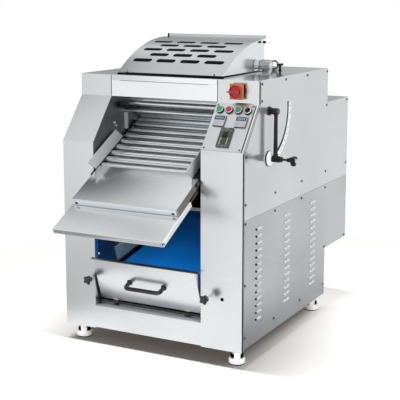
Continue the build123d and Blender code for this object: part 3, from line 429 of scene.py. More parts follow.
footLook = {
    "spread": 362, "front": 60, "rear": 852, "cup": 33, "rib": (25, 9, 44), "facing": 28,
}
cups = bmesh.new()
studs = bmesh.new()
r = footLook["cup"]
for x in (-footLook["spread"], footLook["spread"]):
    for y in (footLook["front"], footLook["rear"]):
        foot = at(x, y, 0) @ Matrix.Rotation(math.radians(footLook["facing"]), 4, "Z")
        cup = [(0, 4.2), (r - 2, 4.2), (r - 0.4, 5.4), (r, 7), (r, 19), (r - 1, 23), (r - 4, 26), (0, 26.6)]
        joined(cups, turned(cup, 40), foot)
        for half in (-1, 1):
            joined(cups, softBox(footLook["rib"], 2, 3), foot @ at(0, half * 23.5, 43.8))
        joined(studs, turned([(0, 0.2), (r - 2.6, 0.2), (r - 2, 1), (r - 2, 4.1), (0, 4.1)], 40), foot, 2)
        joined(studs, turned([(0, 26.7), (25, 26.7), (26, 28), (26, 38), (24, 40), (0, 40)], 36), foot, 2)
        nut = bmesh.new()
        bmesh.ops.create_cone(nut, cap_ends=True, segments=6, radius1=22, radius2=22, depth=10)
        rounded(nut, nut.edges[:], 0.8, 2)
        joined(studs, nut, foot @ at(0, 0, 45.2))
        thread = [(0, 50)] + [(8 - 0.8 * (i % 2), 50 + i * 1.2) for i in range(20)] + [(0, 74.6)]
        joined(studs, turned(thread, 20), foot, 1)
footCups = finished("foot_cups", cups, "frame", ["whitePlastic"], replaces=["feet"])
finished("foot_studs", studs, "frame", ["brassNut", "rollerSteel", "blackRubber"])
print("feet made")


# trays

# some faces of each tray sheet take steels of other tones than the top: painted shade on the upper tray's
# side strips and on the lower tray's front face, painted light on the upper tray's front face and on the
# lower tray's side strips
trayLook = {
    "upper": {
        "left": -253.5, "right": 221.5, "front": -197, "back": 28, "top": 0,
        "flange": 28.4, "hole": 20, "steels": ["traySteel", "rimAndShadedSideSteel", "fasciaAndLitFaceSteel"],
    },
    "lower": {
        "left": -261, "right": 229, "front": -350, "back": -103, "top": -29,
        "flange": 22, "hole": 0, "steels": ["lipSteel", "fasciaAndLitFaceSteel", "doorAndShadedFaceSteel"],
    },
    "sheet": 2, "bend": 3.5, "hem": 7, "hookLean": math.degrees(0.5),
}


def makeTray(name, body, node, look):
    # a folded sheet: top with its front turned down and hemmed under, and a turned-down strip at each side
    sheetThick, bend = trayLook["sheet"], trayLook["bend"]
    left, right, front, back, top = (look[key] for key in ("left", "right", "front", "back", "top"))
    bm = bmesh.new()
    low = top - look["flange"]
    outline = [(back, top), (front, top), (front, low), (front + trayLook["hem"], low + 0.4)]
    joined(bm, bentSheet(outline, left + bend, right - bend, sheetThick, bend))
    for x, side in ((left, 1), (right, -1)):
        edge = bmesh.new()
        corners = [(x + side * bend, top), (x, top), (x, low)]
        verts = drawnLine(edge, [(cx, front + bend, cz) for cx, cz in corners])
        rounded(edge, [verts[1]], bend * 0.98, 5, "VERTICES")
        grown = bmesh.ops.extrude_edge_only(edge, edges=edge.edges[:])["geom"]
        moved(edge, grown, (0, back - front - bend, 0))
        outward(edge)
        inward = Vector((side, 0, -1))
        if sum(f.normal.dot(inward) for f in edge.faces) > 0:
            bmesh.ops.reverse_faces(edge, faces=edge.faces)
        bmesh.ops.solidify(edge, geom=edge.faces[:], thickness=sheetThick)
        joined(bm, edge, None, 1)
    bm.normal_update()
    # the side strips take finish 1 and the front face finish 2, tones that paint light and shade on faces of
    # the one sheet
    paintFaces(bm, 2, lambda f: f.normal.y < -0.8)
    finished(name, bm, body, look["steels"], replaces=[node], place=tableFrame)
    if not look["hole"]:
        corner = leaning((right - 0.4, front + 9, top - 11), trayLook["hookLean"])
        rubber(name + "_hook", softBox((2.6, 5, 13), 0.8), body, tableFrame @ corner)
    else:
        holes = bmesh.new()
        for x in (left + look["hole"], right - look["hole"]):
            for half in (-1, 1):
                rim = turned([(0, 0), (4.6, 0), (4.6, 0.5), (0, 0.5)], 20)
                joined(holes, rim, at(x + half * 2.2, front + 0.1, -17) @ alongFront)
        rubber(name + "_holes", holes, body, tableFrame)


makeTray("upper_tray_sheet", "frame", "upper_tray", trayLook["upper"])
makeTray("lower_tray_sheet", "lower_tray", "lower_tray", trayLook["lower"])
print("trays made")


# gap lever, clamp and scale

leverLook = {"y": 239.9, "top": 990.1, "foot": 800.1, "start": 410.3, "hub": 13, "arm": 439.3}


def atLever(x, z):
    return at(x, leverLook["y"], z) @ alongX


def atFoot(x):
    return atLever(x, leverLook["foot"])


def makeLever():
    hub = leverLook["hub"]
    head = atLever(leverLook["start"], leverLook["top"])
    half = (leverLook["top"] - leverLook["foot"]) / 2
    bm = bmesh.new()
    collar = [(0, 0.2), (hub + 4, 0.2), (hub + 5, 1.2), (hub + 5, 5), (hub + 3.6, 6.5), (hub, 7.2)]
    collar += [(hub, 34), (hub - 1, 36), (0, 36)]
    joined(bm, turned(collar, 40), head)
    bar = bmesh.new()
    bmesh.ops.create_cone(bar, cap_ends=True, segments=28, radius1=8.8, radius2=7.2, depth=2 * half)
    lengthwise = [e for e in bar.edges if abs(e.verts[0].co.z - e.verts[1].co.z) > 1]
    bmesh.ops.subdivide_edges(bar, edges=lengthwise, cuts=6)
    for vert in bar.verts:
        flare = max(0, abs(vert.co.z) / half - 0.72) * 9
        vert.co.xy = vert.co.xy.normalized() * (vert.co.xy.length + flare)
    joined(bm, bar, at(leverLook["arm"], leverLook["y"], leverLook["foot"] + half))
    foot = [(5.3, 0), (hub - 1.5, 0), (hub, 1.5), (hub, 32), (hub - 1, 33), (hub - 2.4, 33.4)]
    foot += [(hub - 2.4, 43), (hub - 3.4, 44), (5.3, 44)]
    joined(bm, turned(foot, 36), atFoot(leverLook["arm"] - 14))
    finished("lever_arm", bm, "gap_lever", ["blackLever"], replaces=["gap_lever"])
    cap = [(0, 34), (hub - 1.2, 34), (hub - 0.6, 36), (hub - 0.6, 39.5), (hub - 2.4, 41.4), (0, 41.9)]
    finished("lever_end_cap", turned(cap, 36), "gap_lever", ["darkCase"], place=head)


def makeClamp():
    screw = bmesh.new()
    disc = [(0, 0.2), (28.6, 0.2), (30, 1.4), (30, 3.4), (29, 5), (16, 12.2), (14.6, 13.2), (0, 13.6)]
    joined(screw, turned(disc, 48), atFoot(411.7), 2)
    # the thin black ring under the disc paints the shade in the gap between disc and panel
    joined(screw, turned([(0, 0.1), (31.4, 0.1), (31.4, 1.3), (0, 1.3)], 48), atFoot(411.5), 3)
    thread = [(0, 0)] + [(4.9 - 0.55 * (i % 2), 0.9 + i * 0.9) for i in range(88)] + [(0, 81)]
    joined(screw, turned(thread, 20), atFoot(425.5), 1)
    joined(screw, turned([(0, 0), (11, 0), (12, 1), (12, 5), (11, 6), (0, 6)], 6), atFoot(401.7), 1)
    looks = ["chrome", "darkChrome", "whitePlastic", "blackRubber"]
    finished("clamp_screw", screw, "clamp_knob", looks)
    knob = bmesh.new()
    joined(knob, lobedHead(23, 3, 0.46, 20, 4.5), atFoot(506))
    neck = turned([(5.2, 0), (7.4, 0), (8.2, 1), (8.2, 9), (10, 15), (10, 16.5), (5.2, 16.5)], 28)
    joined(knob, neck, atFoot(490.5))
    black = ["blackPlastic"]
    finished("clamp_grip", knob, "clamp_knob", black, replaces=["clamp_knob"], sharp=50)
    cap = turned([(0, 0), (7.5, 0), (7.5, 0.8), (5.5, 1.8), (0, 2)], 28)
    finished("clamp_cap", cap, "clamp_knob", ["caseGrey"], place=atFoot(525.8))


def makeScale():
    look = {"inner": 198, "outer": 222, "thick": 0.9, "first": -86, "sweep": 90, "dots": 11}
    inner, outer, thick, sweep = (look[key] for key in ("inner", "outer", "thick", "sweep"))
    centre = Vector((casing["half"], leverLook["y"], leverLook["top"]))
    strip = bmesh.new()
    turn = math.radians(look["first"])
    aim = Vector((0, math.cos(turn), math.sin(turn)))
    section = [(0.1, inner), (thick, inner + 0.6), (thick, outer - 0.6), (0.1, outer)]
    drawnLine(strip, [Vector((x, 0, 0)) + aim * radius for x, radius in section])
    around = {"cent": (0, 0, 0), "axis": (1, 0, 0), "angle": math.radians(sweep)}
    bmesh.ops.spin(strip, geom=strip.verts[:] + strip.edges[:], steps=48, **around)
    outward(strip)
    if sum(f.normal.x for f in strip.faces) < 0:
        bmesh.ops.reverse_faces(strip, faces=strip.faces)
    finished("gap_scale", strip, "frame", ["scaleWhite"], place=at(*centre))
    ink = bmesh.new()
    for i in range(look["dots"]):
        turn = math.radians(look["first"] + 6 + i * (sweep - 10) / (look["dots"] - 1))
        radius = inner + 11
        dot = turned([(0, 0), (2.9, 0), (2.9, 0.25), (0, 0.35)], 14)
        spot = centre + Vector((thick, radius * math.cos(turn), radius * math.sin(turn)))
        joined(ink, dot, at(*spot) @ alongX)
    finished("gap_scale_dots", ink, "frame", ["scaleInk"])


makeLever()
makeClamp()
makeScale()
print("gap lever made")


# star knobs

starLook = {
    "left": {"x": -277, "reach": 44, "body": "left_star_knob"},
    "right": {"x": 274, "reach": 64, "body": "right_star_knob"},
    "z": 279, "radius": 20, "thick": 16,
}


def atStar(look, y):
    return at(look["x"], y, starLook["z"]) @ alongFront


for look in (starLook["left"], starLook["right"]):
    face = -look["reach"] + starLook["thick"]
    knob = bmesh.new()
    head = lobedHead(starLook["radius"], 5, 0.3, starLook["thick"] - 0.8, 4.2)
    joined(knob, head, atStar(look, face))
    hat = turned([(0, 0), (9.5, 0), (8.5, 0.7), (4, 0.4), (0, 0.3)], 28)
    joined(knob, hat, atStar(look, 0.75 - look["reach"]))
    neck = turned([(5.1, 0), (8.6, 0), (10, 3), (10.6, 13), (12.5, 16.2), (5.1, 16.2)], 28)
    joined(knob, neck, atStar(look, face + 16.1))
    body = look["body"]
    finished(body + "_grip", knob, body, ["starGrey"], replaces=[body], sharp=50)
    stud = bmesh.new()
    length = look["reach"] - starLook["thick"] + 8
    thread = [(0, 0)] + [(4.6 - 0.5 * (i % 2), 0.5 + i) for i in range(int(length))] + [(0, length)]
    joined(stud, turned(thread, 18), atStar(look, 8))
    joined(stud, turned([(0, 0), (10, 0), (11, 1), (11, 5), (10, 6), (0, 6)], 6), atStar(look, 8.3))
    finished(body + "_screw", stud, body, ["chrome"])
plug = turned([(0, 0), (7.4, 0), (7.4, 0.6), (6, 1.5), (3, 1.9), (0, 2)], 28)
rubber("pillar_plug", plug, place=at(325, 0, 272) @ alongFront)
print("star knobs made")


# controls on the right pillar

controlLook = {
    "face": 3, "row": 189.9, "switchX": (256, 296, 336, 376), "counterX": (270, 362),
    "counterRow": 137.9, "keypad": (316, 64.95), "screwX": (240.5, 391.5), "screwRow": (15.5, 212),
}


def onPanel(x, run, out=0):
    return panelFrame @ at(x, run, controlLook["face"] + out)


def boxOn(target, size, bevel, place, finish=0):
    joined(target, softBox(size, *bevel), onPanel(*place), finish)


def makeSwitches():
    row = controlLook["row"]
    collars = bmesh.new()
    rim = [(11.6, 0.2), (11.6, 8.4), (12.2, 9.2), (13.6, 9.2), (14.5, 8.4), (14.5, 6.2), (16, 6)]
    rim += [(16.6, 5.2), (16.6, 0.2), (11.6, 0.2)]
    for x in controlLook["switchX"]:
        ring = turned(rim, 40)
        # each collar is white above and black below: painted light on its front ring and painted shade on
        # its side
        paintFaces(ring, 1, lambda f: f.calc_center_median().z < 6.3)
        joined(collars, ring, onPanel(x, row), None)
    plastics = ["collarPaintedLitWhite", "blackPlastic"]
    finished("switch_collars", collars, "frame", plastics, replaces=["button_bezels"])
    buttons = (("start_button", "greenCap"), ("stop_button", "redCap"), ("jog_button", "greenCap"))
    push = [(0, -12), (4.9, -12), (4.9, 5.2), (11, 5.2), (11.3, 5.8), (11.3, 12), (10.5, 13.2)]
    push += [(8.6, 13.5), (5, 13), (0, 12.8)]
    for (body, colour), x in zip(buttons, controlLook["switchX"]):
        cap = turned(push, 40)
        finished(body + "_cap", cap, body, [colour], replaces=[body], place=onPanel(x, row))
    dial = bmesh.new()
    x = controlLook["switchX"][-1]
    hub = [(0, -12), (5, -12), (5, 1.6), (11, 1.6), (11.2, 2.4), (11.2, 9.4), (10.2, 10.6), (0, 10.6)]
    joined(dial, turned(hub, 40), onPanel(x, row))
    boxOn(dial, (6.4, 21, 9), (1.5, 3), (x, row, 14))
    boxOn(dial, (1.3, 8, 0.5), (0.15, 1), (x, row + 5.6, 18.5), 1)
    plastics = ["blackPlastic", "scaleWhite"]
    finished("selector_dial", dial, "selector_knob", plastics, replaces=["selector_knob"])


def makeCounters():
    row = controlLook["counterRow"]
    cases = bmesh.new()
    screens = bmesh.new()
    for x in controlLook["counterX"]:
        case = softBox((48, 48, 7), 1.2, 3)
        paintFaces(case, 1, lambda f: f.calc_center_median().z < 2.9)
        joined(cases, case, onPanel(x, row, 3.5), None)
        boxOn(screens, (43, 19, 1.2), (0.5, 2), (x, row + 12, 6.9))
        for i in range(4):
            boxOn(screens, (5.2, 9.4, 0.4), (0.15, 1), (x - 12.6 + i * 8.4, row + 11.8, 7.45), 1)
        for i in range(4):
            for drop, high in ((6.5, 4.2), (15.5, 3)):
                boxOn(screens, (8.4, high, 1), (0.3, 2), (x - 16.2 + i * 10.8, row - drop, 7.1), 2)
    plastics = ["counterFace", "darkCase"]
    finished("counter_cases", cases, "frame", plastics, replaces=["counters"])
    finished("counter_screens", screens, "frame", ["displayBlue", "displayPale", "keyGrey"])


def makeKeypad():
    x, row = controlLook["keypad"]
    pad = bmesh.new()
    boxOn(pad, (54, 86.9, 6), (1.4, 3), (x, row, 3))
    boxOn(pad, (19, 22, 5), (1.8, 3), (x, row + 10, 6.9), 1)
    boxOn(pad, (17, 27, 1.4), (0.5, 2), (x, row - 17, 6.2), 2)
    films = ["keypadFilm", "blackPlastic", "screenNavy"]
    finished("keypad_plate", pad, "frame", films, replaces=["keypad"])
    marks = bmesh.new()
    flat = (0.2, 1)
    for side in (-1, 1):
        for i in range(4):
            boxOn(marks, (3.2, 6.6, 0.6), flat, (x + side * 15, row - 5.5 - i * 7.6, 6.2))
    for i in range(5):
        boxOn(marks, (4.2, 2.2, 0.6), flat, (x - 17 + i * 8.5, row + 30 + 3.6 * (i % 2), 6.2), 1)
    for aside in (-15, 0, 15):
        boxOn(marks, (5.2, 1.9, 0.6), flat, (x + aside, row - 38.5, 6.2), 1)
    boxOn(marks, (8, 2.2, 0.6), flat, (x + 1, row + 40, 6.2), 1)
    finished("keypad_marks", marks, "frame", ["keyMarks", "markPale"])
    heads = bmesh.new()
    for x in controlLook["screwX"]:
        for run in controlLook["screwRow"]:
            head = turned([(0, 0), (4.6, 0), (4.6, 0.8), (3.6, 1.9), (1.6, 2.3), (0, 2.3)], 24)
            joined(heads, head, onPanel(x, run))
            slit = onPanel(x, run, 2.25) @ Matrix.Rotation(0.6, 4, "Z")
            joined(heads, softBox((5.4, 1, 0.5), 0.1, 1), slit, 1)
    finished("control_plate_screws", heads, "frame", ["screwSteelDarkReflection", "scaleInk"])


def makeMainSwitch():
    look = {"x": 322, "z": 1072.5}

    def atSwitch(out, x=0):
        return at(look["x"], casing["setback"] - out, look["z"]) @ alongFront @ at(x, 0, 0)

    plate = bmesh.new()
    joined(plate, softBox((56, 62, 13), 2.4, 3), atSwitch(17.5))
    # the black round base behind the plate is partly a real base and partly painted shade at the plate's
    # right side
    joined(plate, turned([(0, 0.1), (28, 0.1), (29, 1), (29, 11.5), (0, 11.5)], 40), atSwitch(0), 1)
    plastics = ["orangePlate", "blackRubber"]
    finished("main_switch_plate", plate, "frame", plastics, replaces=["switch_plate"])
    knob = bmesh.new()
    rim = [(0, 24.4), (24, 24.4), (26.4, 25.4), (27, 27), (27, 32.5), (26, 34.6), (23.4, 35.4)]
    rim += [(21.8, 34.4), (20.4, 29.6), (0, 29)]
    joined(knob, turned(rim, 48), atSwitch(0))
    wing = softBox((51, 15, 21), 3, 3)
    for vert in wing.verts:
        lean = (vert.co.x + 25.5) / 51
        vert.co.y *= 0.3 + 0.85 * lean
        vert.co.z -= (1 - lean) * 3 * (vert.co.z > 0)
    joined(knob, wing, atSwitch(39.5, -5.6))
    joined(knob, turned([(0, 0), (5.9, 0), (5.9, 26), (0, 26)], 20), atSwitch(-1))
    finished("main_switch_handle", knob, "switch_knob", ["redCap"], replaces=["switch_knob"])
    pin = turned([(0, 0), (2.2, 0), (2.2, 0.5), (0, 0.6)], 16)
    black = ["blackPlastic"]
    finished("main_switch_pin", pin, "switch_knob", black, place=atSwitch(49.9, 3.5))


makeSwitches()
makeCounters()
makeKeypad()
makeMainSwitch()
print("controls made")


# bin flap with its rim, its handle and the sill behind it

flapLook = {
    "left": -254, "right": 222, "start": 14, "length": 203, "flange": 28,
    "rim": 12, "overhang": 11, "knuckle": 22, "inset": 59,
}
handleLook = {
    "middle": casing["openMiddle"], "half": 80, "run": 113, "foot": 2.2,
    "reach": 44, "bend": 16, "bar": 8.6,
}


def makeFlap():
    look = flapLook
    left, right = look["left"], look["right"]
    middle, width = (left + right) / 2, right - left
    run, height = (look["length"] + look["start"]) / 2, look["length"] - look["start"]
    half = look["knuckle"] / 2
    bm = bmesh.new()
    joined(bm, softBox((width, height, 2), 0.5), at(middle, run, 1))
    for x in (left + 1, right - 1):
        joined(bm, softBox((2, height, look["flange"]), 0.5), at(x, run, -look["flange"] / 2))
    ring = [(7.3, -half), (11, -half), (12, 1 - half), (12, half - 1), (11, half), (7.3, half), (7.3, -half)]
    for x in (left + look["inset"] + half, right - look["inset"] - half):
        joined(bm, turned(ring, 32), at(x, 0, 0) @ alongX, 1)
        joined(bm, softBox((look["knuckle"], 10, 2.4), 0.4), at(x, 13, 1))
    steels = ["flapSteel", "darkChrome"]
    finished("flap_sheet", bm, "bin_flap", steels, replaces=["bin_flap"], place=flapFrame)
    bar = softBox((width + 2 * look["overhang"], 2.6, look["rim"] + 2.4), 0.9, 3)
    edge = flapFrame @ at(middle, look["length"] + 1.2, (2.2 - look["rim"]) / 2)
    finished("flap_rim", bar, "bin_flap", ["rimAndShadedSideSteel"], place=edge)
    roses = bmesh.new()
    for half in (-handleLook["half"], handleLook["half"]):
        rose = turned([(8.7, 0.1), (12.6, 0.1), (13, 0.8), (12.2, 2.2), (9.6, 3.2), (8.7, 3.4)], 32)
        joined(roses, rose, at(handleLook["middle"] + half, handleLook["run"], 2))
    finished("handle_roses", roses, "bin_flap", ["darkChrome"], place=flapFrame)


def makeHandle():
    # round bar bent twice, standing off the flap
    look = handleLook
    middle, run, bend = look["middle"], look["run"], look["bend"]
    bm = bmesh.new()
    ring = bmesh.ops.create_circle(bm, cap_ends=False, radius=look["bar"], segments=20)["verts"]
    bmesh.ops.translate(bm, vec=(middle - look["half"], run, look["foot"]), verts=ring)
    last = bm.edges[:]
    rise = look["reach"] - bend - look["foot"]
    span = look["half"] - bend
    for step, turnAt in (((0, 0, rise), -1), ((2 * span, 0, 0), 1), ((0, 0, -rise), 0)):
        grown = bmesh.ops.extrude_edge_only(bm, edges=last)["geom"]
        moved(bm, grown, step)
        last = [e for e in grown if isinstance(e, bmesh.types.BMEdge)]
        if turnAt:
            centre = (middle + turnAt * span, run, look["reach"] - bend)
            around = {"cent": centre, "axis": (0, 1, 0), "angle": math.radians(90), "steps": 8}
            verts = list({v for e in last for v in e.verts})
            spun = bmesh.ops.spin(bm, geom=verts + last, **around)["geom_last"]
            last = [e for e in spun if isinstance(e, bmesh.types.BMEdge)]
    bmesh.ops.remove_doubles(bm, verts=bm.verts, dist=0.001)
    outward(bm)
    dark = ["darkChrome"]
    finished("handle_bow", bm, "bin_flap", dark, replaces=["flap_handle"], place=flapFrame)


makeFlap()
makeHandle()
sill = softBox((490, 66, 1.6), 0.4)
sillAt = at(casing["openMiddle"], 36, 163.4)
finished("bin_sill", sill, "frame", ["guideSteel"], place=sillAt)
print("flap made")


# hood trim

hoodLook = {"left": -265.5, "right": 233.5, "centre": (590, 593), "radius": 661, "front": 194}


def makeHoodTrim():
    # black sheet just under the slotted sheet, painted shade that makes the slots read dark
    lining = bmesh.new()
    radius = hoodLook["radius"] - 0.5
    first, last = math.radians(92.5), math.radians(124.5)
    y = hoodLook["centre"][0] + radius * math.cos(last)
    z = hoodLook["centre"][1] + radius * math.sin(last)
    drawnLine(lining, [(hoodLook["left"] + 5, y, z), (hoodLook["right"] - 5, y, z)])
    around = {"cent": (0, *hoodLook["centre"]), "axis": (1, 0, 0), "angle": first - last}
    bmesh.ops.spin(lining, geom=lining.verts[:] + lining.edges[:], steps=24, **around)
    outward(lining)
    bmesh.ops.solidify(lining, geom=lining.faces[:], thickness=1)
    rubber("hood_slot_shade", lining, "hood")
    width = hoodLook["right"] - hoodLook["left"] - 6
    middle = (hoodLook["left"] + hoodLook["right"]) / 2
    # black strip on the top plate behind the hood's front edge, which reads dark through the gap
    rubber("hood_edge_strip", softBox((width, 9, 4.6), 1.2, 3), place=at(middle, hoodLook["front"], 1117.9))
    stops = bmesh.new()
    bumper = turned([(0, 0), (4.6, 0), (5.2, 1), (5.2, 9), (4.4, 12), (2.6, 13.2), (0, 13.4)], 28)
    joined(stops, bumper, at(hoodLook["right"] + 0.2, 567, 1241) @ alongX)
    joined(stops, softBox((6, 9, 19), 1.2), at(hoodLook["left"] + 20.6, 597, 1259))
    rubber("hood_stops", stops, "hood")
    heads = bmesh.new()
    for x in (-215, 190):
        head = turned([(0, 0), (4.2, 0), (4.2, 1.2), (3, 2.4), (0, 2.7)], 20)
        joined(heads, head, at(x, 194.2, 1127) @ alongFront)
    finished("hood_screws", heads, "hood", ["screwSteelDarkReflection"])
    latch = bmesh.new()
    foot = at(277, 651, casing["top"])
    stem = turned([(0, 0.1), (8, 0.1), (8, 2.5), (5.2, 3.2), (5.2, 20), (7, 21.5), (7, 25), (0, 26)], 28)
    joined(latch, stem, foot)
    grip = turned([(0, -17), (4.2, -17), (5.2, -15.5), (5.4, 15.5), (4.2, 17), (0, 17)], 24)
    joined(latch, grip, foot @ at(0, 0, 26) @ Matrix.Rotation(math.radians(70), 4, "Z") @ alongX)
    finished("hood_latch_screw", latch, "frame", ["blackPlastic"])


makeHoodTrim()
print("hood trim made")


# casing trim: louvre hoods, corner seams, fascia band

louvreLook = {
    "rows": 14, "low": 164, "high": 532, "columns": (150, 439, 728), "shift": 6,
    "size": (6, 31, 9.4), "cut": -3.4, "open": -24.5,
    "paintedDotSizes": ((5, 5.2, 4.6), (5.8, 6.8, 6.4), (5.8, 6.8, 6.4)), "back": (19, 24, 24),
}


def louvreHood(openEnd):
    part = bmesh.new()
    bmesh.ops.create_uvsphere(part, u_segments=12, v_segments=7, radius=1)
    quarter = Matrix.Rotation(math.radians(90), 3, "X")
    bmesh.ops.rotate(part, cent=(0, 0, 0), matrix=quarter, verts=part.verts)
    bmesh.ops.scale(part, vec=louvreLook["size"], verts=part.verts)
    cuts = [((0, 0, 0), (1, 0, 0)), ((0, 0, louvreLook["cut"]), (0, 0, 1))]
    if openEnd:
        cuts.append(((0, louvreLook["open"], 0), (0, 1, 0)))
    for place, facing in cuts:
        whole = part.verts[:] + part.edges[:] + part.faces[:]
        bmesh.ops.bisect_plane(part, geom=whole, plane_co=place, plane_no=facing, clear_inner=True)
    return part


def makeLouvres():
    pitch = (louvreLook["high"] - louvreLook["low"]) / (louvreLook["rows"] - 1)
    for side, name in ((1, "right_louvres"), (-1, "left_louvres")):
        bm = bmesh.new()
        painted_dots = bmesh.new()
        for column, y in enumerate(louvreLook["columns"]):
            for row in range(louvreLook["rows"]):
                z = louvreLook["low"] + row * pitch
                part = louvreHood(column == 0)
                if side < 0:
                    bmesh.ops.scale(part, vec=(-1, 1, 1), verts=part.verts)
                    bmesh.ops.reverse_faces(part, faces=part.faces)
                joined(bm, part, at(side * (casing["half"] - 0.1), y + louvreLook["shift"], z))
                # a dot on each louvre's front end: black in the first column, painted shade in the open
                # ends; white in the others, painted highlight on the closed ends
                paintedDot = bmesh.new()
                bmesh.ops.create_icosphere(paintedDot, subdivisions=1, radius=1)
                bmesh.ops.scale(paintedDot, vec=louvreLook["paintedDotSizes"][column], verts=paintedDot.verts)
                end = at(side * (casing["half"] + 0.6), y - louvreLook["back"][column], z + 1.2)
                joined(painted_dots, paintedDot, end, 0 if column == 0 else 1)
        finished(name, bm, "frame", ["louvreSteel"], sharp=60)
        finished(name + "_ends", painted_dots, "frame", ["blackRubber", "scaleWhite"], sharp=180)


def makeSeams():
    # black strips behind the front sheet's edge, painted shade in the gap there, with a lap strip between
    # them along the slope
    foot, head = (0, casing["slantFoot"]), (casing["setback"], casing["slantHead"])
    standing = (((0, casing["low"]), foot), (head, (casing["setback"], casing["high"])))
    sloping = ((foot, head),)
    black = bmesh.new()
    lap = bmesh.new()
    strips = (
        (black, standing, 1.6, 12, 1.95),
        (black, sloping, 1.6, 7, 1.95),
        (lap, sloping, 7.2, 13.8, 2.1),
        (black, sloping, 14, 19, 1.95),
    )
    for target, lines, near, far, depth in strips:
        for side in (-1, 1):
            for (y0, z0), (y1, z1) in lines:
                corners = [(y0 + near, z0), (y0 + far, z0), (y1 + far, z1), (y1 + near, z1)]
                joined(target, flatPlate(side * (casing["half"] - 1.9), corners, side * depth))
    rubber("corner_gap_shade", black)
    finished("corner_laps", lap, "frame", ["frontSteel"])
    rubber("control_plate_gap", softBox((2.8, 212, 0.8), 0.2, 1), place=panelFrame @ at(401.6, 112, 0.3))


def makeFascia():
    middle, face = casing["openMiddle"], casing["setback"]
    band = softBox((488, 1.6, 21), 0.7, 3)
    bandAt = at(middle, face - 0.7, 1103.6)
    finished("fascia_band", band, "frame", ["fasciaAndLitFaceSteel"], place=bandAt)
    gaps = bmesh.new()
    joined(gaps, softBox((410, 0.5, 1.5), 0.1, 1), at(middle, face - 0.3, 1092.3))
    for x in (middle - 246.6, middle + 246.6):
        joined(gaps, softBox((2.6, 0.8, 84), 0.3), at(x, face - 0.2, 1070.5))
    rubber("fascia_joints", gaps)


makeLouvres()
makeSeams()
makeFascia()
print("casing trim made")


# inside the opening

insideLook = {
    "wall": -264,
    "guide": {
        "places": (-254.5, 192.5), "thick": 2.2, "start": 3.9, "end": 241.1, "lean": 34, "high": 58.1,
    },
    "jamb": ((1.6, 700), (1.6, 849.4), (144, 1025), (164, 1025), (21.6, 849.4), (21.6, 700)),
}


def makeGuides():
    look = insideLook["guide"]
    start, end, lean, high = (look[key] for key in ("start", "end", "lean", "high"))
    bm = bmesh.new()
    for x in look["places"]:
        corners = [(start, 1), (end, 1), (end - lean, high), (start - lean, high)]
        plate = flatPlate(x - look["thick"] / 2, corners, look["thick"])
        rounded(plate, plate.edges[:], 0.4, 2)
        joined(bm, plate)
    finished("guide_plates", bm, "frame", ["guideSteel"], place=tableFrame)


def makeFittings():
    wall = insideLook["wall"]
    # dark sheet over the inside of the left pillar's return, painted shade in place of its bright reflection
    jamb = flatPlate(casing["openLeft"] + 0.2, insideLook["jamb"], 0.5)
    finished("left_jamb_shade", jamb, "frame", ["shadedWallSteel"])
    bars = bmesh.new()
    joined(bars, softBox((14, 13, 78), 1.2), at(wall + 7.2, 247, 917), 3)
    joined(bars, softBox((22, 13, 9), 1), at(wall + 11.2, 247, 958))
    joined(bars, softBox((22, 30, 24), 2, 3), at(wall + 11.2, 205, 985), 1)
    for y, z in ((162, 914), (174, 900)):
        bolt = turned([(0, 0), (7.5, 0), (7.5, 1.6), (5.2, 2), (5.2, 5.6), (4.2, 6.6), (0, 6.8)], 6)
        joined(bars, bolt, at(wall + 0.1, y, z) @ alongX, 2)
    steels = ["railSteel", "blackPlastic", "brightSteel", "guideSteel"]
    finished("wall_fittings", bars, "frame", steels)
    rest = softBox((492, 10, 16), 1.5)
    restAt = at(casing["openMiddle"], 742, 438)
    finished("belt_end_bar", rest, "frame", ["guideSteel"], place=restAt)
    screw = turned([(0, 0), (4.5, 0), (4.5, 1), (3, 2.2), (0, 2.5)], 20)
    screwAt = at(wall + 0.1, 30, 380) @ alongX
    finished("wall_screw", screw, "frame", ["scaleWhite"], place=screwAt)


makeGuides()
makeFittings()
print("inside made")


# floor, light and camera

def mixed(tree, share, first, second):
    return wire(tree, "MixShader", {"Fac": share, 1: first, 2: second})


def smoothStep(tree, value, low, high, top=1):
    reach = {"Value": value, "From Min": low, "From Max": high, "To Max": top}
    return wire(tree, "MapRange", reach, interpolation_type="SMOOTHSTEP")


def levelSheet(name, cuts, matrix):
    bm = bmesh.new()
    bmesh.ops.create_grid(bm, x_segments=cuts, y_segments=cuts, size=0.5)
    mesh = meshOf(name, bm, matrix)
    material = bpy.data.materials.new(name)
    mesh.materials.append(material)
    sheet = shown(name, mesh)
    return sheet, bareTree(material)


def makeFloor(look):
    floor, tree = levelSheet("floor", 8, Matrix.Scale(look["size"], 4))
    place = wire(tree, "TexCoord").outputs["Object"]
    far = wire(tree, "VectorMath", {0: place}, operation="LENGTH")
    fade = smoothStep(tree, far.outputs["Value"], *look["fade"])
    tone = look["tone"]
    shade = toneRamp(tree, noise(tree, place, 2), grey(tone - 0.01, 0.004), grey(tone, 0.003))
    paper = wire(tree, "BsdfDiffuse", {"Color": shade})
    # painted shade: beside the right panels the floor is darker only where it is mirrored
    shadedMirror = wire(tree, "BsdfDiffuse", {"Color": (*grey(tone * look["mirrored"]), 1)})
    aside = smoothStep(tree, wire(tree, "SeparateXYZ", {"Vector": place}), *look["aside"])
    rays = wire(tree, "LightPath").outputs
    seen = mixed(tree, sums(tree, "MULTIPLY", rays["Is Glossy Ray"], aside), paper, shadedMirror)
    glow = wire(tree, "Emission", {"Color": (*look["lift"], 1), "Strength": rays["Is Camera Ray"]})
    lit = wire(tree, "AddShader", {0: seen, 1: glow})
    wire(tree, "OutputMaterial", {"Surface": mixed(tree, fade, lit, wire(tree, "BsdfTransparent"))})
    return floor


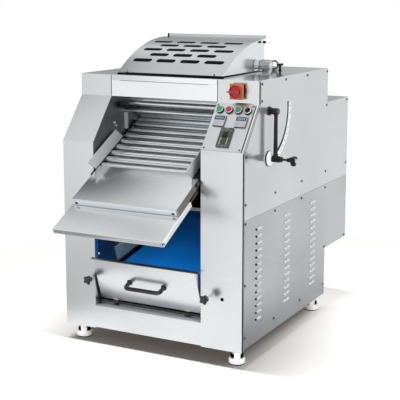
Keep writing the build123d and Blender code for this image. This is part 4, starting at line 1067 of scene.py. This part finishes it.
def makeSky(look):
    # white for the camera, white with darker and brighter flags for what mirrors it, and an even fill
    scene.world = bpy.data.worlds.new("studio")
    tree = bareTree(scene.world)
    direction = wire(tree, "TexCoord").outputs["Generated"]
    level = 1
    for flag in look["flags"]:
        aim = Vector(flag["aim"]).normalized()
        near = wire(tree, "VectorMath", {0: direction, 1: aim}, operation="DOT_PRODUCT")
        outer, inner = (math.cos(math.radians(flag[key])) for key in ("outer", "inner"))
        lobe = smoothStep(tree, near.outputs["Value"], outer, inner, flag["add"])
        level = sums(tree, "ADD", level, lobe)
    rays = wire(tree, "LightPath").outputs
    direct = rays["Is Camera Ray"]
    backdrop = wire(tree, "Mix", {"Factor": direct, "A": level, "B": 1})
    mirrored = sums(tree, "MAXIMUM", rays["Is Glossy Ray"], rays["Is Transmission Ray"])
    seen = sums(tree, "MAXIMUM", direct, mirrored)
    fill = wire(tree, "Background", {"Color": (0.985, 0.995, 1, 1), "Strength": look["fill"]})
    paper = wire(tree, "Background", {"Color": (1, 1, 1, 1), "Strength": backdrop})
    wire(tree, "OutputWorld", {"Surface": mixed(tree, seen, fill, paper)})


def makeCard(name, look):
    # level card that only the polished sheet mirrors, or that only shades the floor
    width, depth = look["size"]
    card, tree = levelSheet(name, 2, toWorld @ at(*look["place"]) @ Matrix.Diagonal((width, depth, 1, 1)))
    place = wire(tree, "TexCoord").outputs["Object"]
    shade = toneRamp(tree, noise(tree, place, 3), grey(look["tone"] * 0.96), grey(look["tone"]))
    glow = wire(tree, "Emission", {"Color": shade})
    # the card fades out towards its rim
    offset = wire(tree, "VectorMath", {0: place, 1: toWorld @ Vector(look["place"])}, operation="SUBTRACT")
    span = wire(tree, "VectorMath", {0: offset, 1: (width / 1000, depth / 1000, 1)}, operation="DIVIDE")
    away = wire(tree, "VectorMath", {0: span}, operation="LENGTH")
    fade = smoothStep(tree, away.outputs["Value"], look["core"], look.get("rim", 0.5))
    wire(tree, "OutputMaterial", {"Surface": mixed(tree, fade, glow, wire(tree, "BsdfTransparent"))})
    shades = look.get("shades", False)
    card.visible_camera = False
    card.visible_diffuse = False
    card.visible_glossy = not shades
    card.visible_shadow = shades
    return card


def makeLamp(name, look):
    # a soft rectangle where a size is given, or else a sun
    lamp = bpy.data.lights.new(name, "AREA" if "size" in look else "SUN")
    lamp.energy = look["power"]
    if "size" in look:
        lamp.shape = "RECTANGLE"
        lamp.size, lamp.size_y = look["size"]
    else:
        lamp.angle = math.radians(look["angle"])
    holder = shown(name, lamp)
    holder.location = look["from"]
    aim = Vector(look["to"]) - Vector(look["from"])
    holder.rotation_euler = aim.to_track_quat("-Z", "Y").to_euler()
    holder.visible_camera = False
    holder.visible_glossy = False
    return holder


def linkedTo(name, pieces, state):
    group = bpy.data.collections.new(name)
    for piece in pieces:
        group.objects.link(piece)
    for entry in group.collection_objects:
        entry.light_linking.link_state = state
    return group


def inRoom(x, y, z):
    return toWorld @ Vector((x, y, z))


def downFrom(spot):
    return {"from": spot, "to": (spot[0], spot[1], 0)}


floorLook = {
    "size": 30, "fade": (0.9, 2), "tone": 0.3, "lift": (0.066, 0.056, 0.05),
    "mirrored": 0.6, "aside": (0.3, 0.5),
}
skyLook = {"fill": 0.6, "flags": (
    {"aim": (-0.82, -0.57, -0.1), "inner": 10, "outer": 28, "add": -0.34},
    {"aim": (-0.46, -0.75, 0.47), "inner": 8, "outer": 20, "add": -0.65},
    {"aim": (-0.49, -0.57, 0.66), "inner": 1.5, "outer": 4, "add": 3.6},
    {"aim": (-0.64, -0.28, 0.71), "inner": 4, "outer": 14, "add": -0.36},
    {"aim": (-0.7, 0.26, 0.66), "inner": 9, "outer": 19, "add": -0.42},
    {"aim": (-0.6, 0.78, 0.18), "inner": 8, "outer": 28, "add": -0.62},
)}
cardLook = {
    "trayCard": {"place": (-860, 300, 1480), "size": (1200, 900), "tone": 0.08, "core": 0.1},
    "lipCard": {"place": (20, -222, 815), "size": (520, 280), "tone": 0.62, "core": 0.02},
    "pillarCard": {"place": (-1080, -830, 8), "size": (1760, 1680), "tone": 0.6, "core": 0.4},
    "underCard": {
        "place": (0, 76, 72), "size": (816, 150), "tone": 0.02,
        "core": 2, "rim": 3, "shades": True,
    },
}
binFrom, binTo = (casing["openMiddle"], 0, 590), (casing["openMiddle"], 260, 400)
lampLook = {
    "keyLight": {"size": (2.2, 2), "power": 60, "from": (-2.2, -3.6, 2.8), "to": (0, 0, 0.4)},
    "topLight": {"size": (2.4, 2.4), "power": 30, "from": (0.6, -0.9, 3.6), "to": (0, 0, 0.6)},
    "sideLight": {"size": (1.6, 1.6), "power": 34, "from": (3.2, -1.2, 1.3), "to": (0.4, 0, 0.5)},
    "binLight": {"size": (0.42, 0.18), "power": 1.6, "from": inRoom(*binFrom), "to": inRoom(*binTo)},
    "footLight": {"size": (1.6, 0.3), "power": 16, "from": (0.5, -2.6, 0.5), "to": (0, -0.3, 0.03)},
    "floorSun": {"angle": 2, "power": 1.6, **downFrom((0, 0, 5))},
    "floorStrip": {"size": (1.09, 0.12), "power": 300, **downFrom((-0.13, casingY, 4))},
    "floorBehind": {"size": (0.8, 0.8), "power": 29, **downFrom(inRoom(1000, 1150, 900))},
    "floorBeside": {"size": (0.8, 0.8), "power": 80, **downFrom(inRoom(-1000, -60, 3000))},
}
floor = makeFloor(floorLook)
makeSky(skyLook)
cards = {name: makeCard(name, look) for name, look in cardLook.items()}
lamps = {name: makeLamp(name, look) for name, look in lampLook.items()}
# the lamps over the floor light nothing else, and only the casing shades them
shell = (
    "left_front_cover", "right_front_cover", "lower_front_panel", "left_side_panel", "right_upper_panel",
    "right_lower_panel", "top_plate", "base_frame",
)
onFloor = linkedTo("floorOnly", [floor], "INCLUDE")
offFloor = linkedTo("allButFloor", [floor], "EXCLUDE")
shading = linkedTo("casingShade", [nodes[name] for name in shell] + [cards["underCard"]], "INCLUDE")
for name in ("floorSun", "floorStrip", "floorBehind", "floorBeside"):
    lamps[name].light_linking.receiver_collection = onFloor
    lamps[name].light_linking.blocker_collection = shading
lamps["footLight"].light_linking.receiver_collection = linkedTo("feetOnly", [footCups], "INCLUDE")
for name in ("keyLight", "topLight", "sideLight"):
    lamps[name].light_linking.receiver_collection = offFloor

cameraLook = {"place": (2051, -3467.99, 1469), "down": 9.47, "turn": 27.73, "lens": 92.9, "shift": -0.1}
lens = bpy.data.cameras.new("camera")
lens.lens = cameraLook["lens"]
lens.sensor_width = 36
lens.shift_y = cameraLook["shift"]
camera = shown("camera", lens)
camera.location = inRoom(*cameraLook["place"])
camera.rotation_euler = (math.radians(90 - cameraLook["down"]), 0, math.radians(cameraLook["turn"]))
scene.camera = camera
scene.view_settings.view_transform = "Standard"
print("stage set")

bpy.context.view_layer.update()
